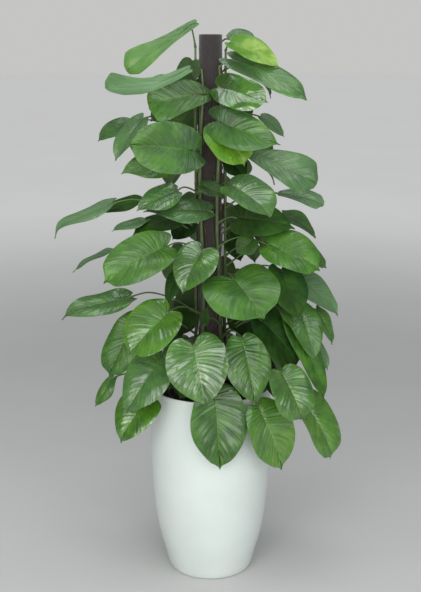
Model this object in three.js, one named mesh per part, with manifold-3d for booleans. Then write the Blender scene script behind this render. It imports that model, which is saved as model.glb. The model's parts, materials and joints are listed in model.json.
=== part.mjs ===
// A potted pothos: a tall white planter filled with soil, a round stake wrapped in dark fibre, six
// leafy stems that climb the stake and four short shoots whose leaves hang over the rim.
// Millimetres, +Z up. The origin is the centre of the planter's flat underside, and -Y is the front.
import * as THREE from 'three';
import { mergeVertices } from 'three/addons/utils/BufferGeometryUtils.js';
import Module from 'manifold-3d';

const wasm = await Module();
wasm.setup();

// Driving dimensions
const POT_HEIGHT = 520;
const POT_RADIUS = 162;
const POT_WALL = 5;
const POT_FLOOR = 9;
const POT_SIDES = 36;
const SOIL_BELOW_RIM = 30;
const POLE_TOP = 1436;
const POLE_RADIUS = 30;
const STAKE_RADIUS = 22;
const STAKE_FOOT = 30;
const WRAP_FOOT = 330;
const POLE_SIDES = 20;
const STEM_RADIUS = 4.5;
const STEM_SIDES = 5;
const STEM_CLEAR_OF_POLE = 3.5;
const STEM_FOOT_DEPTH = 45;
const COLLAR_RISE = 14;
const PLANTED_RADIUS = 66;
const CLIMB_STEP = 90;
const LEAN_HEIGHT = 180;
const WANDER_ANGLE = 9;
const WANDER_HEIGHT = 95;
const PETIOLE_RADIUS = 2.6;
const PETIOLE_SIDES = 3;
const PETIOLE_STEP_LENGTH = 48;
const PETIOLE_STEPS = { least: 2, most: 3 };
const PETIOLE_DROP = { perReach: 0.35, least: 18, most: 75 };
const PETIOLE_ARCH = 0.14;
const BLADE_THICKNESS = 1.3;
const BLADE_ROWS = 5;
const SMALL_BLADE = 86;
const GAP = 0.3;
const HOLE_CLEARANCE = 0.9;

const SOIL_TOP = POT_HEIGHT - SOIL_BELOW_RIM;

// Colours, roughness and metalness
const FINISH = {
  pot: { color: 0xe4ebe5, roughness: 0.32, metalness: 0 },
  soil: { color: 0x1d1713, roughness: 0.95, metalness: 0 },
  stake: { color: 0x6b5138, roughness: 0.8, metalness: 0 },
  fibre: { color: 0x3a302c, roughness: 0.95, metalness: 0 },
  leaf: { color: 0x4c8f3e, roughness: 0.38, metalness: 0 },
  shoot: { color: 0x5f9c4b, roughness: 0.38, metalness: 0 },
};

// The planter's outer face, as [radius, height]: a foot with a rounded edge, a belly that swells
// to the full radius at two thirds of the height, and straight walls up to a plain rim.
const POT_OUTER = [
  [106, 0],
  [112, 4],
  [116, 14],
  [124, 45],
  [138, 97],
  [150, 166],
  [158.5, 254],
  [POT_RADIUS, 340],
  [POT_RADIUS, 430],
  [161, 512],
];

// Half of a blade, as [along, across] in parts of its length and half its width. It starts in the
// notch where the leaf stalk joins, goes round one lobe and ends at the drip tip. Hearts and eggs
// run out to a point, round and lobed blades end blunt, and a few narrow to the stalk and are
// broadest near the end.
const half = (points) => new THREE.SplineCurve(points.map(([x, y]) => new THREE.Vector2(x, y)));
const BLADE_OUTLINES = {
  heart: half([
    [0, 0],
    [-0.09, 0.2],
    [-0.12, 0.46],
    [-0.04, 0.78],
    [0.13, 0.96],
    [0.35, 1],
    [0.58, 0.85],
    [0.78, 0.52],
    [0.92, 0.18],
    [1, 0],
  ]),
  round: half([
    [0, 0],
    [-0.07, 0.18],
    [-0.09, 0.42],
    [-0.01, 0.7],
    [0.15, 0.92],
    [0.38, 1],
    [0.62, 0.94],
    [0.83, 0.67],
    [0.955, 0.25],
    [1, 0],
  ]),
  lobed: half([
    [0, 0],
    [-0.13, 0.16],
    [-0.22, 0.4],
    [-0.18, 0.7],
    [0.02, 0.94],
    [0.32, 1],
    [0.62, 0.88],
    [0.84, 0.56],
    [0.955, 0.22],
    [1, 0],
  ]),
  egg: half([
    [0, 0],
    [-0.05, 0.17],
    [-0.06, 0.38],
    [0.02, 0.63],
    [0.17, 0.87],
    [0.38, 1],
    [0.59, 0.89],
    [0.78, 0.55],
    [0.915, 0.2],
    [1, 0],
  ]),
  strap: half([
    [0, 0],
    [-0.09, 0.1],
    [-0.1, 0.24],
    [0.06, 0.32],
    [0.3, 0.38],
    [0.5, 0.58],
    [0.7, 0.9],
    [0.87, 0.94],
    [0.975, 0.5],
    [1, 0],
  ]),
  spoon: half([
    [0, 0],
    [-0.02, 0.14],
    [0.01, 0.3],
    [0.13, 0.45],
    [0.3, 0.62],
    [0.5, 0.82],
    [0.7, 0.98],
    [0.87, 0.9],
    [0.975, 0.48],
    [1, 0],
  ]),
};

// A leaf: where its stalk meets the blade, where its tip is, its width, its roll about the midrib
// in degrees (0 faces out and up), how far it bends from end to end in degrees, and its outline.
function leaf(at, tip, width, roll, bend, form = 'heart') {
  const [joint, end] = [new THREE.Vector3(...at), new THREE.Vector3(...tip)];
  return { at: joint, tip: end, width, roll, bend, form };
}

// The leaves of each climbing stem, with the stem's place round the stake and its top.
const CLIMBERS = [
  {
    name: 'vine_left',
    azimuth: 176,
    top: 1404,
    leaves: [
      leaf([-50, -45, 1455], [-208, -60, 1348], 84, -45, 12, 'strap'),
      leaf([-62, -88, 1349], [-246, -190, 1317], 84, -35, -45, 'strap'),
      leaf([-90, -40, 1265], [-150, -60, 1225], 65, -40, 30, 'egg'),
      leaf([-168, -45, 1230], [-240, -65, 1126], 76, -34, 20, 'egg'),
      leaf([-205, 10, 1215], [-290, 0, 1170], 66, -45, 30, 'egg'),
      leaf([-255, -20, 1012], [-405, -40, 928], 90, -16, 18, 'egg'),
      leaf([-185, 15, 1012], [-282, 25, 980], 75, -25, 15, 'egg'),
      leaf([-170, -30, 968], [-255, -45, 945], 62, -14, 20, 'egg'),
      leaf([-60, -35, 978], [-205, -50, 936], 96, -15, 25, 'egg'),
      leaf([-260, 20, 878], [-366, 20, 822], 58, -12, 25, 'egg'),
      leaf([-208, -60, 775], [-384, -95, 724], 88, -30, 18, 'egg'),
      leaf([-196, -80, 715], [-266, -105, 570], 96, -48, 20, 'round'),
      leaf([-200, -25, 645], [-250, -30, 560], 78, -10, 25),
      leaf([-46, -14, 1371], [-74, -28, 1317], 60, -62, 15, 'round'),
    ],
  },
  {
    name: 'vine_front_left',
    azimuth: -126,
    top: 1352,
    leaves: [
      leaf([-4, -66, 1290], [-156, -84, 1271], 122, -44, 25, 'spoon'),
      leaf([-38, -110, 1156], [-197, -160, 1178], 130, -55, 20, 'round'),
      leaf([-105, -75, 1115], [-222, -115, 1103], 90, -28, 25, 'egg'),
      leaf([-25, -100, 1070], [35, -120, 1045], 50, 0, 30, 'egg'),
      leaf([-84, -100, 1057], [-184, -140, 1012], 82, -20, 25, 'egg'),
      leaf([0, -90, 1004], [-168, -130, 1012], 84, -5, 20, 'egg'),
      leaf([-112, -105, 915], [-270, -150, 832], 124, -40, 25, 'round'),
      leaf([-20, -150, 915], [-70, -200, 815], 112, 0, 35),
      leaf([-80, -100, 850], [-110, -115, 765], 55, 0, 25, 'egg'),
      leaf([-105, -130, 752], [-205, -180, 654], 140, -24, 30, 'round'),
      leaf([-35, -120, 585], [-80, -145, 525], 75, 0, 30),
    ],
  },
  {
    name: 'vine_front_right',
    azimuth: -56,
    top: 1360,
    leaves: [
      leaf([56, -42, 1374], [237, -110, 1285], 78, 38, 12, 'round'),
      leaf([20, -90, 1310], [140, -150, 1276], 88, 40, 25, 'round'),
      leaf([15, -85, 1228], [172, -130, 1174], 98, 45, 20),
      leaf([15, -65, 1210], [88, -105, 1120], 120, 10, 30, 'round'),
      leaf([52, -128, 1072], [148, -185, 1006], 128, 0, 30, 'round'),
      leaf([70, -60, 980], [215, -85, 960], 100, 35, 30),
      leaf([110, -66, 928], [64, -82, 893], 60, 0, 25, 'egg'),
      leaf([178, -100, 855], [224, -138, 735], 114, 28, 25),
      leaf([58, -150, 842], [132, -235, 762], 198, 12, 30, 'lobed'),
      leaf([165, -110, 770], [210, -125, 705], 60, 0, 25, 'egg'),
      leaf([-15, -150, 725], [-10, -160, 775], 26, 0, 10, 'egg'),
      leaf([77, -162, 693], [109, -213, 531], 122, 12, 30, 'egg'),
    ],
  },
  {
    name: 'vine_right',
    azimuth: 2,
    top: 1396,
    leaves: [
      leaf([51, -38, 1415], [171, -64, 1357], 78, 35, 15, 'egg'),
      leaf([128, -10, 1232], [188, -20, 1182], 52, 35, 30, 'egg'),
      leaf([80, -5, 1156], [168, -20, 1062], 92, 0, 25),
      leaf([102, -54, 1142], [268, -84, 1074], 108, 50, 12, 'spoon'),
      leaf([176, -20, 1038], [290, -45, 1014], 78, 30, 26, 'spoon'),
      leaf([190, 0, 982], [276, -15, 922], 76, 25, 35, 'egg'),
      leaf([148, -90, 917], [277, -130, 861], 118, 35, 25, 'round'),
      leaf([225, -20, 901], [303, -30, 845], 72, 25, 25, 'round'),
      leaf([220, -25, 826], [336, -55, 724], 112, 25, 20, 'egg'),
      leaf([235, -60, 730], [270, -85, 610], 90, 40, 25),
      leaf([278, -30, 732], [322, -40, 640], 66, 25, 25, 'egg'),
      leaf([128, -75, 718], [230, -72, 592], 158, 30, 25, 'round'),
      leaf([200, -60, 710], [300, -80, 495], 72, 45, 30, 'egg'),
      leaf([258, -20, 650], [314, -30, 566], 72, 30, 25, 'egg'),
    ],
  },
  {
    name: 'vine_back_right',
    azimuth: 61,
    top: 1405,
    leaves: [
      leaf([45, 15, 1425], [116, 20, 1430], 60, 40, 20, 'egg'),
      leaf([60, 60, 940], [76, 88, 848], 90, 0, 25, 'egg'),
      leaf([70, 75, 740], [100, 112, 600], 120, 0, 25, 'egg'),
    ],
  },
  {
    name: 'vine_back_left',
    azimuth: 119,
    top: 1350,
    leaves: [
      leaf([-32, 70, 775], [-52, 106, 655], 118, 0, 25, 'egg'),
      leaf([-80, 60, 715], [-95, 95, 590], 110, 0, 25, 'egg'),
    ],
  },
];

// The shoots that rise from the soil near the rim, each with its route above the soil.
const SHOOTS = [
  {
    name: 'shoot_left',
    route: [[-85, -58, SOIL_TOP], [-98, -76, 555], [-112, -98, 615]],
    leaves: [
      leaf([-122, -135, 635], [-218, -175, 495], 130, -24, 30),
      leaf([-256, -60, 555], [-306, -70, 478], 42, -45, 25, 'egg'),
      leaf([-160, -130, 520], [-235, -160, 410], 116, -28, 30),
    ],
  },
  {
    name: 'shoot_front',
    route: [[0, -96, SOIL_TOP], [-8, -112, 590], [-20, -130, 680]],
    leaves: [
      leaf([-42, -200, 684], [-9, -245, 540], 158, 0, 30),
      leaf([10, -165, 560], [25, -190, 345], 156, 0, 25, 'egg'),
    ],
  },
  {
    name: 'shoot_right',
    route: [[86, -56, SOIL_TOP], [100, -76, 555], [116, -96, 600]],
    leaves: [
      leaf([180, -150, 600], [235, -170, 475], 124, 26, 30, 'round'),
      leaf([119, -150, 509], [187, -132, 323], 140, 28, 30, 'egg'),
      leaf([237, -62, 500], [324, -77, 331], 128, 30, 30, 'round'),
      leaf([135, -105, 612], [168, -138, 520], 78, 0, 25),
    ],
  },
  {
    name: 'shoot_back',
    route: [[4, 96, SOIL_TOP], [8, 112, 570], [-4, 124, 640]],
    leaves: [
      leaf([-60, 165, 600], [-100, 230, 465], 130, 0, 30),
      leaf([70, 162, 605], [120, 215, 460], 135, 0, 30),
      leaf([0, 180, 560], [15, 215, 385], 135, 0, 25, 'egg'),
      leaf([-150, 110, 585], [-215, 160, 460], 115, 0, 30),
      leaf([160, 105, 570], [230, 140, 450], 110, 0, 30, 'egg'),
    ],
  },
];

// Small old leaves in the shade between the stems and the stake, numbered after all the others.
const INNER_LEAVES = {
  vine_left: [
    leaf([-48, 16, 958], [-100, -6, 914], 71, -55, 20, 'egg'),
    leaf([-55, 10, 722], [-84, -6, 655], 71, -55, 20, 'egg'),
  ],
  vine_right: [
    leaf([45, 14, 1125], [89, -6, 1074], 71, 55, 20, 'egg'),
    leaf([49, 16, 921], [80, 0, 855], 71, 50, 20, 'egg'),
    leaf([55, 14, 716], [89, -2, 654], 71, 50, 20, 'egg'),
  ],
};

// The leaves at the back follow one rule: they spiral down the stake by the golden angle, folded
// into the back half, and each hangs out and down from its stalk.
const BACK_LEAVES = 22;
const BACK_SEED = 46;
const BACK_REACH = [72, 92];
const BACK_REACH_GROWTH = 55;
const BACK_LENGTH = [115, 150];
const BACK_WIDTH_SHARE = [0.66, 0.8];
const BACK_DROOP = [38, 58];
const BACK_TURN = [-14, 14];
const BACK_BEND = [18, 34];
const BACK_TOP = 1354;
const BACK_BOTTOM = 717;
const BACK_FIRST_AZIMUTH = 28;
const BACK_SWEEP = 107;
const GOLDEN_FRACTION = 0.618034;

const degrees = (angle) => THREE.MathUtils.degToRad(angle);

// A seeded die: the same whole-number steps give the same draws every time.
function dice(seed) {
  let state = seed * 7919 + 17;
  return (low, high) => {
    state = (state * 16807) % 2147483647;
    return low + ((high - low) * state) / 2147483647;
  };
}

function addBackLeaves() {
  const draw = dice(BACK_SEED);
  for (let i = 0; i < BACK_LEAVES; i += 1) {
    const share = i / (BACK_LEAVES - 1);
    const azimuth = BACK_FIRST_AZIMUTH + BACK_SWEEP * ((i * GOLDEN_FRACTION) % 1);
    const height = BACK_TOP + (BACK_BOTTOM - BACK_TOP) * share;
    const reach = draw(...BACK_REACH) + BACK_REACH_GROWTH * share;
    const length = draw(...BACK_LENGTH);
    const droop = degrees(draw(...BACK_DROOP));
    const heading = degrees(azimuth + draw(...BACK_TURN));
    const outward = length * Math.cos(droop);
    const x = Math.cos(degrees(azimuth)) * reach;
    const y = Math.sin(degrees(azimuth)) * reach;
    const tip = [
      x + outward * Math.cos(heading),
      y + outward * Math.sin(heading),
      height - length * Math.sin(droop),
    ];
    const owner = azimuth < 90 ? 'vine_back_right' : 'vine_back_left';
    const width = length * draw(...BACK_WIDTH_SHARE);
    const leaves = CLIMBERS.find((climber) => climber.name === owner).leaves;
    const [roll, bend] = [draw(...BACK_TURN), draw(...BACK_BEND)];
    const form = i % 2 === 0 ? 'heart' : 'egg';
    leaves.push(leaf([x, y, height], tip, width, roll, bend, form));
  }
}

// A closed geometry as a solid: its shared corners are merged and its flat scraps dropped.
function solid(geometry) {
  const bare = new THREE.BufferGeometry();
  bare.setAttribute('position', geometry.getAttribute('position'));
  bare.setIndex(geometry.index);
  const merged = mergeVertices(bare, 1e-4);
  const corners = merged.index.array;
  const triVerts = [];
  for (let i = 0; i < corners.length; i += 3) {
    const [a, b, c] = [corners[i], corners[i + 1], corners[i + 2]];
    if (a !== b && b !== c && c !== a) triVerts.push(a, b, c);
  }
  const vertProperties = merged.getAttribute('position').array;
  return new wasm.Manifold(
    new wasm.Mesh({ numProp: 3, vertProperties, triVerts: new Uint32Array(triVerts) }),
  );
}

// A solid as a geometry again, with flat facets.
function geometryOf(body) {
  const { vertProperties, triVerts } = body.getMesh();
  const geometry = new THREE.BufferGeometry();
  geometry.setAttribute('position', new THREE.BufferAttribute(vertProperties, 3));
  geometry.setIndex(new THREE.BufferAttribute(triVerts, 1));
  const faceted = geometry.toNonIndexed();
  faceted.computeVertexNormals();
  return faceted;
}

function mesh(name, body, finish) {
  const made = new THREE.Mesh(geometryOf(body), new THREE.MeshStandardMaterial(finish));
  made.name = name;
  return made;
}

// A body of revolution about Z from [radius, height] points that start and end on the axis or
// close on themselves.
function turned(points, sides) {
  const profile = points.map(([radius, height]) => new THREE.Vector2(radius, height));
  const lathe = new THREE.LatheGeometry(profile, sides);
  lathe.rotateX(Math.PI / 2);
  return solid(lathe);
}

// A round bar of a given radius along a curve.
function bar(curve, radius, sides, steps) {
  const section = new THREE.Shape();
  for (let i = 0; i < sides; i += 1) {
    const angle = (2 * Math.PI * i) / sides;
    if (i === 0) section.moveTo(radius, 0);
    else section.lineTo(radius * Math.cos(angle), radius * Math.sin(angle));
  }
  section.closePath();
  const options = { steps, bevelEnabled: false, extrudePath: curve };
  return solid(new THREE.ExtrudeGeometry(section, options));
}

// An upright cylinder between two heights, to cut a hole with.
function upright(x, y, radius, low, high, sides) {
  const cylinder = new THREE.CylinderGeometry(radius, radius, high - low, sides);
  cylinder.rotateX(Math.PI / 2);
  cylinder.translate(x, y, (low + high) / 2);
  return solid(cylinder);
}

// The planter's inner face: its outer face moved in by the wall, above the floor.
function potInner(inset) {
  const face = POT_OUTER.filter(([, height]) => height > 60);
  const [footRadius] = POT_OUTER[2];
  return [
    [footRadius - POT_WALL - inset - 6, POT_FLOOR + inset],
    ...face.map(([radius, height]) => [radius - POT_WALL - inset, height]),
  ];
}

function buildPot() {
  const rim = [
    [160, POT_HEIGHT],
    [157, POT_HEIGHT],
  ];
  const inner = potInner(0).reverse();
  return turned([[0, 0], ...POT_OUTER, ...rim, ...inner, [0, POT_FLOOR]], POT_SIDES);
}

// The soil fills the planter, with a plain hole for the stake and one for each stem.
function buildSoil(stems) {
  const side = potInner(GAP).filter(([, height]) => height < SOIL_TOP - 8);
  const edge = POT_RADIUS - POT_WALL - GAP;
  const surface = [
    [edge - 0.4, SOIL_TOP - 6],
    [edge - 20, SOIL_TOP],
    [PLANTED_RADIUS - 20, SOIL_TOP + 5],
    [0, SOIL_TOP + 5],
  ];
  let soil = turned([[0, POT_FLOOR + GAP], ...side, ...surface], POT_SIDES);
  const above = SOIL_TOP + 40;
  const wrapHole = POLE_RADIUS + HOLE_CLEARANCE;
  const stakeHole = STAKE_RADIUS + HOLE_CLEARANCE;
  soil = soil.subtract(upright(0, 0, wrapHole, WRAP_FOOT - GAP, above, POLE_SIDES));
  soil = soil.subtract(upright(0, 0, stakeHole, STAKE_FOOT - GAP, above, POLE_SIDES));
  const low = SOIL_TOP - STEM_FOOT_DEPTH - GAP;
  for (const { foot } of stems) {
    const hole = upright(foot.x, foot.y, STEM_RADIUS + HOLE_CLEARANCE, low, above, 8);
    soil = soil.subtract(hole);
  }
  return soil;
}

function buildStake() {
  return turned(
    [
      [0, STAKE_FOOT],
      [STAKE_RADIUS - 6, STAKE_FOOT],
      [STAKE_RADIUS, STAKE_FOOT + 14],
      [STAKE_RADIUS, POLE_TOP],
      [0, POLE_TOP],
    ],
    POLE_SIDES,
  );
}

function buildWrap() {
  const inside = STAKE_RADIUS + GAP * 1.4;
  return turned(
    [
      [inside, WRAP_FOOT],
      [POLE_RADIUS, WRAP_FOOT],
      [POLE_RADIUS, POLE_TOP - 1],
      [POLE_RADIUS - 1.5, POLE_TOP],
      [inside, POLE_TOP],
      [inside, WRAP_FOOT],
    ],
    POLE_SIDES,
  );
}

// The frame of one blade: a bent, slightly twisted sheet with its midrib sunk, its margins curled
// down and waved. Its own die, seeded by its number on the plant, sets those small shapes.
function bladeFrame(plan, number) {
  const draw = dice(number);
  const along = plan.tip.clone().sub(plan.at);
  const length = along.length();
  along.normalize();
  const middle = plan.at.clone().add(plan.tip).multiplyScalar(0.5);
  const outUp = new THREE.Vector3(middle.x, middle.y, 0).normalize();
  outUp.z = 1;
  const face = outUp.addScaledVector(along, -outUp.dot(along)).normalize();
  face.applyAxisAngle(along, degrees(plan.roll));
  const across = new THREE.Vector3().crossVectors(along, face);
  return {
    plan,
    along,
    face,
    across,
    length,
    half: plan.width / 2,
    bend: degrees(plan.bend),
    twist: degrees(draw(-14, 14)),
    fold: degrees(draw(8, 18)),
    curl: draw(0.12, 0.3),
    wave: length * draw(0.012, 0.03),
    phase: draw(0, 2 * Math.PI),
  };
}

// A point of the blade's middle surface and the sheet's normal there. u runs along the midrib, v
// across it from -1 to 1, and t is the place along the outline that the wave follows.
function bladePoint(blade, u, v, t) {
  const { bend, along, face, across } = blade;
  const arc = (blade.length * (bend / 2)) / Math.sin(bend / 2) / bend;
  const angle = bend / 2 - bend * u;
  const forward = arc * (Math.sin(bend / 2) - Math.sin(angle));
  const lift = arc * (Math.cos(angle) - Math.cos(bend / 2));
  const up = face.clone().multiplyScalar(Math.cos(angle));
  up.addScaledVector(along, -Math.sin(angle));
  const turn = blade.twist * (u - 0.5);
  const side = across.clone().multiplyScalar(Math.cos(turn)).addScaledVector(up, Math.sin(turn));
  const normal = up.multiplyScalar(Math.cos(turn)).addScaledVector(across, -Math.sin(turn));
  const out = Math.abs(v);
  const ripple = Math.sin(3 * Math.PI * t + blade.phase + (v < 0 ? 1.3 : 0));
  const height =
    out * blade.half * Math.sin(blade.fold) -
    0.6 * blade.curl * blade.half * out ** 2.4 +
    blade.wave * ripple * out * out;
  const point = blade.plan.at.clone();
  point.addScaledVector(along, forward);
  point.addScaledVector(face, lift);
  point.addScaledVector(side, v * blade.half * Math.cos(blade.fold));
  point.addScaledVector(normal, height);
  return { point, normal };
}

// One blade as a closed solid. Each row runs from one edge over the midrib to the other edge, with
// a column between rib and edge on all but small blades, and both faces are split alike.
function buildBlade(blade) {
  const shares = blade.plan.width < SMALL_BLADE ? [-1, 0, 1] : [-1, -0.5, 0, 0.5, 1];
  const middle = (shares.length - 1) / 2;
  const edge = shares.length - 1;
  const rows = [];
  for (let row = 0; row <= BLADE_ROWS; row += 1) {
    const t = row / BLADE_ROWS;
    const rim = BLADE_OUTLINES[blade.plan.form].getPoint(t);
    const rib = THREE.MathUtils.lerp(t * t, t, 0.6);
    const line = shares.map((share) => {
      const u = THREE.MathUtils.lerp(rib, rim.x, Math.abs(share));
      return bladePoint(blade, u, share * rim.y, t);
    });
    rows.push(row === 0 || row === BLADE_ROWS ? [line[middle]] : line);
  }
  const skin = (offset) =>
    rows.map((line) =>
      line.map(({ point, normal }) => point.clone().addScaledVector(normal, offset).toArray()),
    );
  const upper = skin(BLADE_THICKNESS / 2);
  const under = skin(-BLADE_THICKNESS / 2);
  const corner = (face, row, column) => face[row][Math.min(column, face[row].length - 1)];
  const positions = [];
  const triangle = (...corners) => corners.forEach((place) => positions.push(...place));
  const bothFaces = (...places) => {
    const [a, b, c] = places.map(([row, column]) => corner(upper, row, column));
    const [d, e, f] = places.map(([row, column]) => corner(under, row, column));
    triangle(a, b, c);
    triangle(d, f, e);
  };
  const wall = (row, column, flip) => {
    const [a, b] = [corner(upper, row, column), corner(upper, row + 1, column)];
    const [c, d] = [corner(under, row, column), corner(under, row + 1, column)];
    if (flip) triangle(a, d, b, a, c, d);
    else triangle(a, b, d, a, d, c);
  };
  for (let column = 0; column < edge; column += 1) {
    bothFaces([0, 0], [1, column + 1], [1, column]);
    bothFaces([BLADE_ROWS, 0], [BLADE_ROWS - 1, column], [BLADE_ROWS - 1, column + 1]);
    for (let row = 1; row < BLADE_ROWS - 1; row += 1) {
      bothFaces([row, column], [row, column + 1], [row + 1, column + 1]);
      bothFaces([row, column], [row + 1, column + 1], [row + 1, column]);
    }
  }
  for (let row = 0; row < BLADE_ROWS; row += 1) {
    wall(row, 0, false);
    wall(row, edge, true);
  }
  const geometry = new THREE.BufferGeometry();
  geometry.setAttribute('position', new THREE.Float32BufferAttribute(positions, 3));
  return solid(geometry);
}

// The leaf stalk: it leaves the stem below the blade, arches up and out, and ends in the blade.
function buildPetiole(blade, stem) {
  const { at: joint } = blade.plan;
  const reach = Math.hypot(joint.x - stem.foot.x, joint.y - stem.foot.y);
  const { perReach, least, most } = PETIOLE_DROP;
  const drop = THREE.MathUtils.clamp(perReach * reach, least, most);
  const root = stem.pointAt(joint.z - drop);
  const way = joint.clone().sub(root);
  const arch = PETIOLE_ARCH * way.length();
  const low = root.clone().addScaledVector(way, 0.3);
  low.z += arch * 0.8;
  const high = root.clone().addScaledVector(way, 0.72);
  high.z += arch * 0.9;
  const end = bladePoint(blade, 0.05, 0, 0).point;
  const curve = new THREE.CatmullRomCurve3([root, low, high, joint, end]);
  const wanted = Math.round(way.length() / PETIOLE_STEP_LENGTH);
  const steps = THREE.MathUtils.clamp(wanted, PETIOLE_STEPS.least, PETIOLE_STEPS.most);
  return bar(curve, PETIOLE_RADIUS, PETIOLE_SIDES, steps);
}

// A stem's course: straight up through its hole in the soil, then along its route.
function stemAlong(route, steps) {
  const [x, y] = route[0];
  const foot = new THREE.Vector3(x, y, SOIL_TOP - STEM_FOOT_DEPTH);
  const points = route.slice(1).map((place) => new THREE.Vector3(...place));
  const collar = new THREE.Vector3(x, y, SOIL_TOP + COLLAR_RISE);
  const start = new THREE.Vector3(x, y, SOIL_TOP + COLLAR_RISE - 4);
  const curve = new THREE.CatmullRomCurve3([start, ...points]);
  const samples = curve.getSpacedPoints(200).filter((spot) => spot.z > SOIL_TOP + 40);
  const pointAt = (height) =>
    samples.reduce((best, spot) =>
      Math.abs(spot.z - height) < Math.abs(best.z - height) ? spot : best,
    );
  const buried = bar(new THREE.LineCurve3(foot, collar), STEM_RADIUS, STEM_SIDES, 1);
  const body = bar(curve, STEM_RADIUS, STEM_SIDES, steps).add(buried);
  return { foot, pointAt, body };
}

// A climbing stem leans from where it is planted to the stake and wanders a little on its way up.
function climberRoute({ azimuth, top }) {
  const route = [];
  const close = POLE_RADIUS + STEM_CLEAR_OF_POLE + STEM_RADIUS;
  for (let height = SOIL_TOP; height < top - CLIMB_STEP / 3; height += CLIMB_STEP) {
    const lean = Math.max(0, 1 - (height - SOIL_TOP) / LEAN_HEIGHT);
    const radius = close + (PLANTED_RADIUS - close) * lean;
    const wander = WANDER_ANGLE * Math.sin(height / WANDER_HEIGHT + azimuth);
    const angle = degrees(azimuth + wander);
    route.push([radius * Math.cos(angle), radius * Math.sin(angle), height]);
  }
  const angle = degrees(azimuth);
  route.push([close * Math.cos(angle), close * Math.sin(angle), top]);
  return route;
}

// A leafy stem: the stem or what is built of it, and its leaf stalks and blades, as one body.
function addLeaves(body, stem, leaves, firstNumber) {
  return leaves.reduce((whole, plan, index) => {
    const blade = bladeFrame(plan, firstNumber + index);
    return whole.add(buildBlade(blade)).add(buildPetiole(blade, stem));
  }, body);
}

function buildPlant() {
  addBackLeaves();
  const group = new THREE.Group();
  const plants = [
    ...CLIMBERS.map((plan) => ({ ...plan, stem: stemAlong(climberRoute(plan), 16) })),
    ...SHOOTS.map((plan) => ({ ...plan, stem: stemAlong(plan.route, 4) })),
  ];
  group.add(mesh('pot', buildPot(), FINISH.pot));
  group.add(mesh('soil', buildSoil(plants.map((plant) => plant.stem)), FINISH.soil));
  group.add(mesh('pole_stake', buildStake(), FINISH.stake));
  group.add(mesh('pole_wrap', buildWrap(), FINISH.fibre));
  let number = 1;
  let innerNumber = plants.reduce((sum, { leaves }) => sum + leaves.length, number);
  for (const { name, stem, leaves } of plants) {
    const finish = name.startsWith('vine') ? FINISH.leaf : FINISH.shoot;
    const inner = INNER_LEAVES[name] ?? [];
    const outside = addLeaves(stem.body, stem, leaves, number);
    group.add(mesh(name, addLeaves(outside, stem, inner, innerNumber), finish));
    number += leaves.length;
    innerNumber += inner.length;
  }
  return group;
}

const plant = buildPlant();

export default plant;
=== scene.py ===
# %% [markdown]
# # A potted pothos on a fibre pole
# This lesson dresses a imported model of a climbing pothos: a tall white planter, dark soil, a pole
# wound with fibre, and ten leafy stems. The solids of the model give each piece its place and its
# form. Here they get what a solid leaves out: veins, waxy gloss, loose fibres and crumbs of soil.

# %% The frame that everything is built on
import json
import math
import bpy
import numpy as np
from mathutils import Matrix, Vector, noise

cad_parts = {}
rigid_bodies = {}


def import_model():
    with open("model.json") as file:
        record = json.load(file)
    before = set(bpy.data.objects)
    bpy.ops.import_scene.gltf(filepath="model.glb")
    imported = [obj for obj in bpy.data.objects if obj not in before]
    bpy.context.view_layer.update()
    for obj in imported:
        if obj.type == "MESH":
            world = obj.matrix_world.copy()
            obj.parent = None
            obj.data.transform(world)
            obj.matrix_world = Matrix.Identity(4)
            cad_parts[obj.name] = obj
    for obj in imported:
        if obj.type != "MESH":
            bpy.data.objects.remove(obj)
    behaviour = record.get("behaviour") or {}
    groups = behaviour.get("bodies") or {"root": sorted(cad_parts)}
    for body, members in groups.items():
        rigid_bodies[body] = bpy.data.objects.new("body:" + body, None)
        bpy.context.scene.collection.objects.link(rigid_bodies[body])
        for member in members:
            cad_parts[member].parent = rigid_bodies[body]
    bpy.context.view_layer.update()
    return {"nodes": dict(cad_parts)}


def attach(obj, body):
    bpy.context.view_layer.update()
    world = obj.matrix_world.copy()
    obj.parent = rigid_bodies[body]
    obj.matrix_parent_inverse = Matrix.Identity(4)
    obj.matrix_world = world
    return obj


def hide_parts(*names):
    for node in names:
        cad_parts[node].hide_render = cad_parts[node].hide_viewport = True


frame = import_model()
MM = 0.001
print("nodes to dress:", ", ".join(sorted(frame["nodes"])))

# %% [markdown]
# ## The viewpoint
# The photograph was taken from just above the top of the pole, tilted down, so the planter's foot
# curves and its rim nearly closes. A camera that is fitted to the pole's top, the rim and the foot
# stands 1.435 m high and 2.8 m in front and looks 13.5 degrees down. Its lens follows from the
# frame's height in pixels, so the same crop comes out whatever size the sensor is said to be.

# %% Camera
FRAME_HEIGHT = 592
FOCAL_PIXELS = 1089
CAMERA_HEIGHT = 1.435
CAMERA_DISTANCE = 2.8
TILT_DOWN = 13.5
camera_data = bpy.data.cameras.new("camera")
camera_data.sensor_fit = "VERTICAL"
camera_data.sensor_height = 24
camera_data.lens = camera_data.sensor_height * FOCAL_PIXELS / FRAME_HEIGHT
camera = bpy.data.objects.new("camera", camera_data)
camera.location = (0, -CAMERA_DISTANCE, CAMERA_HEIGHT)
camera.rotation_euler = (math.radians(90 - TILT_DOWN), 0, 0)
bpy.context.collection.objects.link(camera)
bpy.context.scene.camera = camera
print("lens", round(camera_data.lens, 2), "mm")

# %% [markdown]
# ## Light
# Waxy leaves show the shape of what lights them: a small lamp makes hard sparkles, a large soft
# panel makes the broad pale sheen that the photograph has. The hanging leaves face the viewer and
# mirror what is low and in front, and the leaves that stand out level mirror what is above. So the
# widest panel is a low one behind the camera, a second one leans over the camera, and weaker ones
# stand at the sides and overhead. The world round them is dim, and the plant's heart stays dark.

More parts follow.
